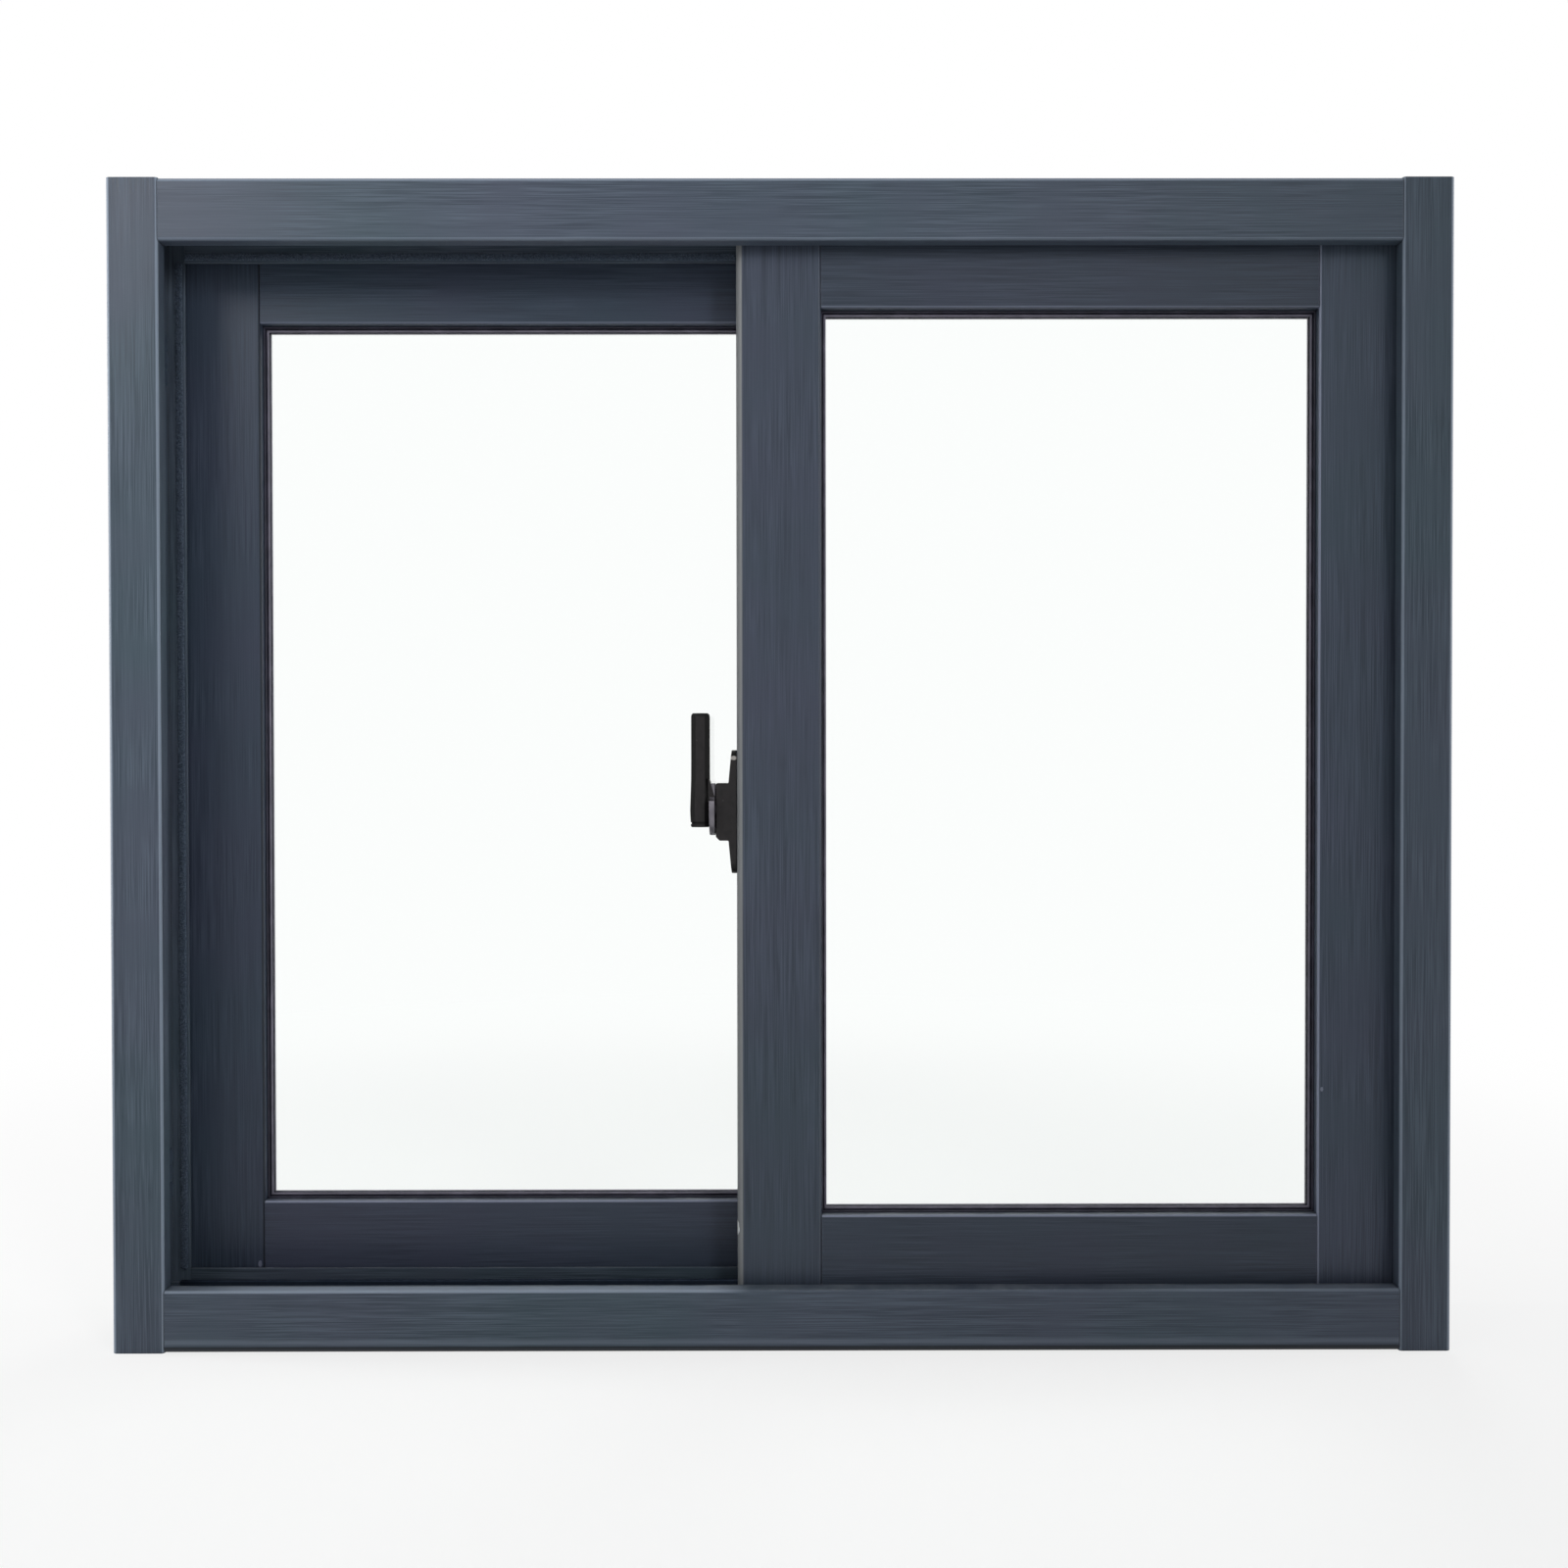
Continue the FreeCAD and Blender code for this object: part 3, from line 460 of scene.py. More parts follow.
def clear_glass():
    """Float glass, faintly green, with thin smears; lamps shine through it."""
    finish, tree, skin, position = new_finish(
        "float glass", Base_Color=(0.965, 0.985, 0.975, 1), Metallic=0.0, Transmission_Weight=1.0, IOR=1.5)
    smear = clouds(tree, position, 9.0, 5.0, distortion=1.4)
    tree.links.new(remap(tree, smear, 0.5, 0.8, 0.0, 0.012), skin["Roughness"])
    lamp_ray = place_node(tree, "ShaderNodeLightPath").outputs["Is Shadow Ray"]
    open_way = place_node(tree, "ShaderNodeBsdfTransparent", {"Color": (0.93, 0.96, 0.95, 1)}).outputs[0]
    shader = tree.nodes["Principled BSDF"].outputs[0]
    joined = place_node(tree, "ShaderNodeMixShader", {0: lamp_ray, 1: shader, 2: open_way}).outputs[0]
    tree.links.new(joined, tree.nodes["Material Output"].inputs["Surface"])
    return finish


def moulded_rubber(name, dark, light):
    """Extruded or moulded rubber with a faint bloom, and a little of the dust and painted top light on what
    faces up.
    """
    finish, tree, skin, position = new_finish(name, Specular_IOR_Level=0.3)
    peel = use_effect(tree, PEEL, Position=position, Grain=1500.0)["Relief"]
    dust_and_top_light = use_effect(tree, DUST_AND_TOP_LIGHT, Position=position, Amount=0.2)["Dust and top light"]
    bloom = clouds(tree, position, 70.0, 4.0)
    tone = blend_colours(tree, remap(tree, bloom, 0.35, 0.75), dark, light)
    tree.links.new(blend_colours(tree, dust_and_top_light, tone, shade(84, 86, 98)), skin["Base Color"])
    tree.links.new(remap(tree, bloom, 0.3, 0.7, 0.42, 0.6), skin["Roughness"])
    tree.links.new(relief(tree, peel, 0.03 * MM), skin["Normal"])
    return finish


def lock_enamel():
    """Black enamel on a zinc casting, with a painted sheen that makes its flats paler than its bevels, and
    rubbed on its edges.
    """
    finish, tree, skin, position = new_finish("black enamel", Specular_IOR_Level=0.2)
    arris = use_effect(tree, ARRIS, Radius=0.8 * MM, Width=2.0, Rolled=0.0)
    # Painted shade, with some grime, in the casting's joints and corners
    shade_and_grime = use_effect(tree, SHADE_AND_GRIME, Reach=2.0 * MM, Amount=0.6)["Shade and grime"]
    peel = use_effect(tree, PEEL, Position=position, Grain=1100.0)["Relief"]
    speck = use_effect(tree, SPECKS, Position=position, Spread=240.0, Size=0.09, Share=0.05)["Speck"]
    # A pale spot painted on the plate by its upper screw
    spot_centre, spot_size = LOCK_PALE_SPOT
    pale_patch = use_effect(tree, PALE_PATCH, Position=position, Centre=spot_centre, Size=spot_size,
                      Ragged=0.25)["Patch"]
    patch = clouds(tree, position, 160.0, 5.0)
    # Painted sheen: the flats paler than the bevels
    sheen_on_flats = multiply(tree, arris["Flat"], remap(tree, patch, 0.25, 0.6, 0.55, 1.0))
    rubbed = multiply(tree, arris["Edge"], remap(tree, patch, 0.3, 0.6))
    tone = blend_colours(tree, sheen_on_flats, shade(12, 12, 12), shade(34, 32, 33))
    tone = blend_colours(tree, multiply(tree, rubbed, 0.5), tone, shade(92, 92, 94))
    tone = blend_colours(tree, shade_and_grime, tone, shade(10, 10, 11))
    tone = blend_colours(tree, multiply(tree, speck, 0.5), tone, shade(96, 94, 92))
    tree.links.new(blend_colours(tree, pale_patch, tone, shade(158, 154, 150)), skin["Base Color"])
    tree.links.new(remap(tree, patch, 0.3, 0.7, 0.34, 0.5), skin["Roughness"])
    tree.links.new(relief(tree, peel, 0.04 * MM, arris["Normal"]), skin["Normal"])
    return finish


def worked_metal(name, dark, light, least_rough, most_rough, stretch):
    """Bare metal with fine tool marks along one direction and dull patches."""
    finish, tree, skin, position = new_finish(name, Metallic=1.0)
    grain = use_effect(tree, GRAIN, Position=position, Stretch=stretch)
    arris = use_effect(tree, ARRIS, Radius=0.5 * MM, Width=1.5)
    patch = clouds(tree, position, 55.0, 5.0)
    bright = multiply(tree, remap(tree, patch, 0.3, 0.7), 0.6)
    share = calculate(tree, "ADD", bright, multiply(tree, grain["Streaks"], 0.4), clamp=True)
    tree.links.new(blend_colours(tree, share, dark, light), skin["Base Color"])
    tree.links.new(remap(tree, patch, 0.3, 0.7, most_rough, least_rough), skin["Roughness"])
    tree.links.new(relief(tree, grain["Hairlines"], 0.01 * MM, arris["Normal"]), skin["Normal"])
    return finish


def woven_pile():
    """Dull polypropylene pile, uneven from strand to strand."""
    finish, tree, skin, position = new_finish("woven pile", Specular_IOR_Level=0.1)
    strand = clouds(tree, position, 900.0, 2.0)
    # Tones paler than the pile's own grey: painted light that lifts it in its shaded grooves
    tone = blend_colours(tree, remap(tree, strand, 0.35, 0.65), shade(66, 76, 90), shade(92, 104, 120))
    tree.links.new(tone, skin["Base Color"])
    tree.links.new(remap(tree, strand, 0.3, 0.7, 0.8, 0.95), skin["Roughness"])
    return finish


def moulded_nylon(name, dark, light):
    """Injected nylon with faint flow marks."""
    finish, tree, skin, position = new_finish(name, Specular_IOR_Level=0.4)
    peel = use_effect(tree, PEEL, Position=position, Grain=1300.0)["Relief"]
    flow = clouds(tree, position, 120.0, 3.0, distortion=0.8)
    tree.links.new(blend_colours(tree, remap(tree, flow, 0.35, 0.65), dark, light), skin["Base Color"])
    tree.links.new(remap(tree, flow, 0.3, 0.7, 0.38, 0.52), skin["Roughness"])
    tree.links.new(relief(tree, peel, 0.03 * MM), skin["Normal"])
    return finish


# Coating tones: deep streaks, teal and violet drift, pale streaks
FRAME_TONES = (shade(54, 63, 74), shade(62, 78, 87), shade(72, 77, 92), shade(88, 99, 112))
# The meeting stile's, rails' and rear sash's tones are darker copies of the sash coating: painted shade
MEETING_SHADED_TONES = (shade(48, 55, 65), shade(55, 67, 77), shade(62, 65, 81), shade(74, 82, 96))
STILE_TONES = (shade(51, 59, 70), shade(59, 72, 83), shade(66, 70, 87), shade(79, 88, 103))
RAIL_SHADED_TONES = (shade(43, 50, 60), shade(50, 61, 71), shade(56, 60, 75), shade(68, 76, 89))
REAR_SHADED_TONES = (shade(38, 46, 58), shade(44, 57, 69), shade(51, 55, 72), shade(60, 69, 83))
# Painted highlights on rounded edges; on the rear stiles a painted shade on them instead
FRAME_EDGE_HIGHLIGHT = shade(150, 162, 178)
SASH_EDGE_HIGHLIGHT = shade(142, 148, 168)
BAND_HIGHLIGHT = shade(152, 153, 152)
REAR_STILE_EDGE_SHADE = shade(26, 31, 39)

# Pale spots painted on the coating: middle and size in metres, and their tone
MEETING_PALE_SPOTS = (((-0.0350, -0.0305, 0.0892), (0.0030, 0.0036, 0.0060), PALE_SPOT_TONE),)
STILE_PALE_SPOTS = (((0.4215, -0.035, 0.198), (0.0013, 0.002, 0.0019), shade(112, 118, 134)),)
REAR_PALE_SPOTS = (((-0.4220, 0.009, 0.0490), (0.0016, 0.002, 0.0030), shade(100, 104, 122)),)
LOCK_PALE_SPOT = ((-0.0375, -0.0295, 0.4573), (0.0032, 0.0030, 0.0017))

finishes = {
    "frame_upright": coated_aluminium(
        "frame coating upright", "upright", FRAME_TONES, FRAME_EDGE_HIGHLIGHT, 0.52, calm_channel=0.85),
    "frame_level": coated_aluminium(
        "frame coating level", "level", FRAME_TONES, FRAME_EDGE_HIGHLIGHT, 0.56, calm_channel=0.8, sill_lighting=True),
    "front_meeting": coated_aluminium(
        "meeting stile coating", "upright", MEETING_SHADED_TONES, BAND_HIGHLIGHT, 0.62, MEETING_PALE_SPOTS, plus_x_edge_lighting=0.0),
    "front_upright": coated_aluminium(
        "front sash coating upright", "upright", STILE_TONES, SASH_EDGE_HIGHLIGHT, 0.85, STILE_PALE_SPOTS, plus_x_edge_lighting=0.2),
    "front_level": coated_aluminium("front sash coating level", "level", RAIL_SHADED_TONES, SASH_EDGE_HIGHLIGHT, 0.72),
    "rear_upright": coated_aluminium(
        "rear sash coating upright", "upright", REAR_SHADED_TONES, REAR_STILE_EDGE_SHADE, 0.85, REAR_PALE_SPOTS),
    "rear_level": coated_aluminium(
        "rear sash coating level", "level", REAR_SHADED_TONES, SASH_EDGE_HIGHLIGHT, 0.68, paler_low=0.06),
    "glass": clear_glass(),
    "rubber": moulded_rubber("glazing rubber", shade(38, 38, 49), shade(54, 53, 67)),
    "bumper": moulded_rubber("bumper rubber", shade(50, 60, 72), shade(66, 78, 92)),
    # Paler rubber on the gasket's lip: a painted highlight along it
    "lip": moulded_rubber("gasket lip highlight", shade(94, 92, 104), shade(116, 112, 126)),
    "enamel": lock_enamel(),
    "cam": worked_metal(
        "cam metal", shade(98, 96, 102), shade(134, 131, 138), 0.4, 0.55, (400.0, 400.0, 60.0)),
    "track": worked_metal(
        "track steel", shade(44, 54, 70), shade(60, 71, 88), 0.5, 0.62, (4.0, 700.0, 700.0)),
    "zinc": worked_metal(
        "zinc plate", shade(150, 152, 156), shade(196, 196, 194), 0.28, 0.45, (300.0, 300.0, 300.0)),
    "pile": woven_pile(),
    "nylon": moulded_nylon("black nylon", shade(34, 34, 36), shade(50, 50, 52)),
}
SLOT_FINISHES = {
    "clear_glass": "glass", "black_rubber": "rubber", "lock_black": "enamel", "cam_metal": "cam",
    "bright_steel": "track", "screw_steel": "zinc", "grey_pile": "pile", "roller_nylon": "nylon",
}
node_slots = {node: piece.material_slots[0].material.name for node, piece in window.items()}


def finish_of(node):
    """Finish by the node's slot, and for coated members by the sash and the way they run."""
    slot = node_slots[node]
    if slot not in ("frame_coating", "sash_coating"):
        return finishes[SLOT_FINISHES[slot]]
    low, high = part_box(node)
    way = "upright" if high.z - low.z > high.x - low.x else "level"
    if node == "front_meeting_stile":
        way = "meeting"
    return finishes[node.split("_")[0] + "_" + way]


for node, piece in window.items():
    piece.material_slots[0].material = finish_of(node)


# Pieces

def mesh_of(name, points, faces):
    mesh = bpy.data.meshes.new(name)
    mesh.from_pydata(points, [], faces)
    mesh.update()
    return mesh


def new_piece(name, mesh, finish, node):
    """Object that rides with a node's body and wears the finish given."""
    mesh.materials.clear()
    mesh.materials.append(finish)
    piece = bpy.data.objects.new(name, mesh)
    scene.collection.objects.link(piece)
    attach(piece, window[node]["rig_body"])
    return piece


def shade_smooth(mesh):
    mesh.polygons.foreach_set("use_smooth", [True] * len(mesh.polygons))


def smooth_under(piece, degrees):
    """Smooth shading, with hard edges where faces turn by more than an angle."""
    shade_smooth(piece.data)
    piece.data.set_sharp_from_angle(angle=math.radians(degrees))


def face_outward(piece):
    shape = bmesh.new()
    shape.from_mesh(piece.data)
    bmesh.ops.recalc_face_normals(shape, faces=shape.faces)
    shape.to_mesh(piece.data)
    shape.free()


def round_edges(piece, width, segments, degrees):
    """A small round, its width in mm, on every edge that turns by more than an angle."""
    shade_smooth(piece.data)
    rounds = piece.modifiers.new("rounds", "BEVEL")
    rounds.width = width * MM
    rounds.segments = segments
    rounds.limit_method = "ANGLE"
    rounds.angle_limit = math.radians(degrees)
    rounds.harden_normals = True


def ring_faces(start, rings, count, ends=True):
    """Faces of a tube through rings of points, count to a ring, with its two ends closed if asked."""
    faces = []
    for ring in range(rings - 1):
        for i in range(count):
            beside = (i + 1) % count
            first, second = start + ring * count, start + (ring + 1) * count
            faces.append((first + i, first + beside, second + beside, second + i))
    if ends:
        last = start + (rings - 1) * count
        faces.append(tuple(start + i for i in reversed(range(count))))
        faces.append(tuple(last + i for i in range(count)))
    return faces


def corners(points):
    low = Vector([min(point[i] for point in points) for i in range(3)])
    high = Vector([max(point[i] for point in points) for i in range(3)])
    return low, high


SEAM = 0.001 * MM


def solids_in(node):
    """Points of each separate solid in a node."""
    whole = bmesh.new()
    whole.from_mesh(window[node].data)
    bmesh.ops.remove_doubles(whole, verts=whole.verts, dist=SEAM)
    left = set(whole.verts)
    solids = []
    while left:
        reached = [left.pop()]
        for point in reached:
            for edge in point.link_edges:
                other = edge.other_vert(point)
                if other in left:
                    left.remove(other)
                    reached.append(other)
        solids.append([point.co.copy() for point in reached])
    whole.free()
    return sorted(solids, key=lambda points: tuple(round(c, 5) for c in corners(points)[0]))


def arc(centre_u, centre_v, radius, start, end, steps):
    """Points on an arc, from one angle in degrees to another."""
    angles = [math.radians(start + (end - start) * i / steps) for i in range(steps + 1)]
    return [(centre_u + radius * math.cos(a), centre_v + radius * math.sin(a)) for a in angles]


# Glazing gaskets: a foot behind the metal, a wedge against it and a lip on the glass

GASKET_BITE = 6.0


def gasket_profile():
    """Section in mm: u from the metal's edge towards the pane, v out from the glass. The lip comes last."""
    foot = [(3.2, 0.0), (-GASKET_BITE, 0.0), (-GASKET_BITE, 3.0), (0.05, 3.0), (0.05, 4.4)]
    crown = arc(0.6, 4.4, 0.55, 180, 30, 5)
    groove = [(1.3, 3.0), (1.5, 1.2)] + arc(2.2, 1.0, 0.5, 200, 300, 4)
    lip = arc(3.0, 1.6, 1.0, 165, -70, 10)
    return foot + crown + groove, lip


def make_gasket(node, outside):
    """The section swept round the pane, mitred at its corners."""
    low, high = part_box(node)
    bite = GASKET_BITE * MM
    left, right = low.x + bite, high.x - bite
    foot, top = low.z + bite, high.z - bite
    glass = low.y if outside else high.y
    way = 1 if outside else -1
    body, lip = gasket_profile()
    points = []
    for u, v in body + lip:
        y = glass + way * v * MM
        inset = u * MM
        points += [(left + inset, y, foot + inset), (right - inset, y, foot + inset),
                   (right - inset, y, top - inset), (left + inset, y, top - inset)]
    rows = len(body) + len(lip)
    faces = []
    for row in range(rows):
        after = (row + 1) % rows
        for side in range(4):
            beside = (side + 1) % 4
            face = (row * 4 + side, row * 4 + beside, after * 4 + beside, after * 4 + side)
            faces.append(face if outside else face[::-1])
    name = node + "_section"
    gasket = new_piece(name, mesh_of(name, points, faces), finishes["rubber"], node)
    # The lip takes the paler rubber, a painted highlight
    gasket.data.materials.append(finishes["lip"])
    for number, polygon in enumerate(gasket.data.polygons):
        polygon.material_index = 1 if len(body) <= number // 4 < rows - 1 else 0
    smooth_under(gasket, 40)
    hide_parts(node)


for sash in ("front", "rear"):
    make_gasket(sash + "_room_gasket", False)
    make_gasket(sash + "_outside_gasket", True)


# Weather strips: a backing tape and rows of short fibres

TUFT_STEP = 1.0 * MM
TUFT_ROWS = 4
TUFT_WIDTH = 0.5 * MM
TUFT_SHORT = 0.5 * MM
TUFT_SPLAY = 0.5 * MM
TUFT_LEAN = 0.35 * MM
TUFT_TIP = 0.3
ROW_MARGIN = 0.2
BACKING = 0.8 * MM
BLOCK_FACES = ((0, 1, 3, 2), (4, 6, 7, 5), (0, 4, 5, 1), (2, 3, 7, 6), (0, 2, 6, 4), (1, 5, 7, 3))


def add_faces(points, faces, new_points, new_faces):
    start = len(points)
    points.extend(new_points)
    faces.extend(tuple(start + i for i in face) for face in new_faces)


def make_pile(node):
    """Each strip's tape lies in its groove, and its tufts reach towards the sash."""
    draw = random.Random(node)
    points, faces = [], []
    strips = sorted((corners(solid) for solid in solids_in(node)), key=lambda strip: strip[0].y)
    for number, (low, high) in enumerate(strips):
        runs = 0 if high.x - low.x > high.z - low.z else 2
        wide = 2 - runs
        root, tip = (low.y, high.y) if number % 2 == 0 else (high.y, low.y)
        way = 1 if tip > root else -1
        tape = sorted((root, root + way * BACKING))
        block = [(x, y, z) for x in (low.x, high.x) for y in tape for z in (low.z, high.z)]
        add_faces(points, faces, block, BLOCK_FACES)
        for i in range(int((high[runs] - low[runs]) / TUFT_STEP)):
            for row in range(TUFT_ROWS):
                base = Vector((0, root + way * BACKING, 0))
                base[runs] = low[runs] + (i + draw.random()) * TUFT_STEP
                row_share = (row + ROW_MARGIN + (1 - 2 * ROW_MARGIN) * draw.random()) / TUFT_ROWS
                base[wide] = low[wide] + (high[wide] - low[wide]) * row_share
                turn = draw.uniform(0, math.pi)
                half = Vector((0, 0, 0))
                half[runs] = math.cos(turn) * TUFT_WIDTH / 2
                half[wide] = math.sin(turn) * TUFT_WIDTH / 2
                end = base.copy()
                end.y = tip - way * draw.uniform(0, TUFT_SHORT)
                end[runs] += draw.uniform(-TUFT_SPLAY, TUFT_SPLAY)
                end[runs] = min(max(end[runs], low[runs]), high[runs])
                end[wide] += draw.uniform(-TUFT_LEAN, TUFT_LEAN)
                tuft = [base - half, base + half, end + half * TUFT_TIP, end - half * TUFT_TIP]
                add_faces(points, faces, tuft, [range(4)])
    name = node + "_fibres"
    strip = new_piece(name, mesh_of(name, points, faces), finishes["pile"], node)
    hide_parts(node)


for node in ("head_pile", "sill_pile", "left_jamb_pile", "right_jamb_pile"):
    make_pile(node)


# Screws: a countersunk head with a cross recess

SCREW_SIDES = 40
HEAD_EDGE = 0.3
POINT_RADIUS = 0.3
POINT_LENGTH = 1.5
RECESS_REACH = 2.3
RECESS_ARM = 0.55
RECESS_DEPTH = 1.7
RECESS_FLOOR_REACH = 0.45 * RECESS_REACH
RECESS_FLOOR_ARM = 0.7 * RECESS_ARM
SEAT_SLACK = 0.05 * MM


def cross_outline(reach, arm):
    quarter = [(reach, -arm), (reach, arm), (arm, arm)]
    points = []
    for turn in range(4):
        angle = turn * math.pi / 2
        cos, sin = math.cos(angle), math.sin(angle)
        points += [(u * cos - v * sin, u * sin + v * cos) for u, v in quarter]
    return points


def screw_shape(radius, shank, length):
    """Points (u, v, depth) in mm, depth into the work, and the faces of one screw."""
    def ring(size, depth):
        step = 2 * math.pi / SCREW_SIDES
        return [(size * math.cos(i * step), size * math.sin(i * step), depth) for i in range(SCREW_SIDES)]

    rims = [ring(radius * 0.86, 0.0), ring(radius * 0.97, HEAD_EDGE * 0.4), ring(radius, HEAD_EDGE),
            ring(shank, HEAD_EDGE + radius - shank), ring(shank, length - POINT_LENGTH),
            ring(POINT_RADIUS, length)]
    mouth = [(u, v, 0.0) for u, v in cross_outline(RECESS_REACH, RECESS_ARM)]
    floor = [(u, v, RECESS_DEPTH) for u, v in cross_outline(RECESS_FLOOR_REACH, RECESS_FLOOR_ARM)]
    points = [point for rim in rims for point in rim]
    start, count = len(points), len(mouth)
    faces = ring_faces(0, len(rims), SCREW_SIDES, ends=False)
    faces.append(tuple(range(start - SCREW_SIDES, start)))
    points += mouth + floor
    faces += ring_faces(start, 2, count, ends=False)
    faces.append(tuple(start + count + i for i in reversed(range(count))))
    known = list(range(SCREW_SIDES)) + list(range(start, start + count))
    for face in tessellate_polygon([[Vector(p) for p in rims[0]], [Vector(p) for p in mouth]]):
        faces.append(tuple(known[i] for i in face))
    return points, faces


def screw_seat(points):
    """Middle of a screw's head, the way it points into the work, and its radius and length in mm."""
    low, high = corners(points)
    middle = (low + high) / 2

    def spread(x):
        return max((Vector((0, p.y - middle.y, p.z - middle.z)).length
                    for p in points if abs(p.x - x) < SEAT_SLACK), default=0.0)
    at_low, at_high = spread(low.x), spread(high.x)
    head, way = (low.x, 1) if at_low > at_high else (high.x, -1)
    return Vector((head, middle.y, middle.z)), way, max(at_low, at_high) / MM, (high.x - low.x) / MM


def make_screws(node):
    """Each screw is turned by chance, as screws are."""
    draw = random.Random(node)
    points, faces = [], []
    for solid in solids_in(node):
        seat, way, radius, length = screw_seat(solid)
        shape, sides = screw_shape(radius, radius / 2, length)
        turn = draw.uniform(0, math.pi / 2)
        cos, sin = math.cos(turn), math.sin(turn)
        placed = []
        for u, v, depth in shape:
            across = way * (u * cos - v * sin)
            placed.append(seat + Vector((way * depth, across, u * sin + v * cos)) * MM)
        add_faces(points, faces, placed, sides)
    name = node + "_cut"
    screws = new_piece(name, mesh_of(name, points, faces), finishes["zinc"], node)
    face_outward(screws)
    smooth_under(screws, 35)
    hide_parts(node)


for node in ("left_frame_screws", "right_frame_screws", "front_corner_screws", "rear_corner_screws",
             "lock_screws"):
    make_screws(node)


# Lock castings: the node's own shape with every edge eased

CAST_GRAIN = 0.4 * MM
CAST_PASSES = 5


def make_casting(node):
    """The node's shape as a fine mesh whose edges have run soft."""
    mesh = window[node].data.copy()
    shape = bmesh.new()
    shape.from_mesh(mesh)
    bmesh.ops.remove_doubles(shape, verts=shape.verts, dist=SEAM)
    shape.to_mesh(mesh)
    shape.free()
    draft = bpy.data.objects.new(node + "_draft", mesh)
    scene.collection.objects.link(draft)
    fine = draft.modifiers.new("fine", "REMESH")
    fine.mode = "VOXEL"
    fine.voxel_size = CAST_GRAIN
    soft = draft.modifiers.new("soft", "SMOOTH")
    soft.factor = 0.5
    soft.iterations = CAST_PASSES
    eased = bpy.data.meshes.new_from_object(draft.evaluated_get(bpy.context.evaluated_depsgraph_get()))
    bpy.data.objects.remove(draft)
    shade_smooth(eased)
    name = node + "_cast"
    eased.name = name
    cast = new_piece(name, eased, finish_of(node), node)
    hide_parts(node)


for node in ("lock_base", "lock_keeper"):
    make_casting(node)


# Lock lever: a tapered bar with a crowned face between two bevels, a lipped foot and a raked neck

LEVER_STATIONS = (
    # height, left, right, front and back of the bar, and how far its bevels are drawn in, all mm
    (403.0, -70.4, -57.3, -27.6, -12.2, 1.2), (403.8, -71.1, -56.6, -28.4, -11.5, 0.0),
    (405.3, -71.2, -56.5, -28.5, -11.4, 0.0), (405.7, -70.5, -56.9, -27.8, -12.0, 0.4),
    (406.5, -70.5, -56.9, -27.8, -12.0, 0.4), (407.1, -71.3, -56.5, -28.7, -11.3, 0.0),
    (411.0, -71.5, -56.5, -29.0, -11.0, 0.0), (416.0, -71.7, -56.5, -29.0, -11.0, 0.0),
    (423.0, -71.5, -56.5, -28.9, -11.1, 0.0), (432.0, -71.2, -56.5, -28.3, -11.7, 0.0),
    (441.0, -71.0, -56.5, -27.4, -12.6, 0.0), (449.0, -71.0, -56.5, -26.6, -13.4, 0.0),
    (457.0, -71.0, -56.5, -26.0, -14.0, 0.0), (475.0, -71.0, -56.5, -26.0, -14.0, 0.0),
    (489.6, -71.0, -56.5, -26.0, -14.0, 0.0), (491.4, -70.7, -56.8, -25.3, -14.4, 0.3),
    (492.5, -69.6, -57.9, -23.8, -15.6, 1.3),
)
BEVEL_WIDTH = 3.6
BEVEL_DEPTH = 2.6
CROWN_RISE = 0.35
BACK_ROUND = 2.0
NECK = ((-57.5, 441.5), (-56.4, 440.0), (-54.6, 434.0), (-52.3, 426.6), (-52.2, 424.4), (-57.5, 422.6))
NECK_FRONT = -28.2
NECK_BACK = -11.8


def lever_section(left, right, front, back, drawn_in):
    """Closed outline (x, y) in mm of the bar at one height, the same number of points each time."""
    wide = BEVEL_WIDTH - drawn_in * 0.5
    deep = BEVEL_DEPTH - drawn_in * 0.5
    shoulder = front + CROWN_RISE
    face = [(left, front + deep), (left + wide, shoulder), ((left + right) / 2, front),
            (right - wide, shoulder), (right, front + deep)]
    back_right = arc(right - BACK_ROUND, back - BACK_ROUND, BACK_ROUND, 0, 90, 3)
    back_left = arc(left + BACK_ROUND, back - BACK_ROUND, BACK_ROUND, 90, 180, 3)
    return face + back_right + back_left


def make_lever():
    points = []
    for height, *sides in LEVER_STATIONS:
        points += [Vector((x, y, height)) * MM for x, y in lever_section(*sides)]
    start = len(points)
    faces = ring_faces(0, len(LEVER_STATIONS), start // len(LEVER_STATIONS))
    for y in (NECK_FRONT, NECK_BACK):
        points += [Vector((x, y, z)) * MM for x, z in NECK]
    faces += ring_faces(start, 2, len(NECK))
    name = "lock_lever_bar"
    lever = new_piece(name, mesh_of(name, points, faces), finishes["enamel"], "lock_lever")
    face_outward(lever)
    round_edges(lever, 0.5, 3, 16)
    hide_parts("lock_lever")


# Crescent: a thick half-moon with a nose where it meets the keeper, dished inside its rim

CAM_CENTRE = (-20.0, 417.0)
CAM_RADIUS = 20.5
CAM_BACK = -11.1
CAM_NOSE = ((-26.2, 432.6), (-27.4, 427.4), (-31.0, 424.6), (-38.0, 423.8))
NOSE_FROM = 102
NOSE_TO = 160
CAM_LEFT = -56.4
CAM_RIGHT = -52.1
RIM_WIDTH = 2.6
DISH_DEPTH = 0.9


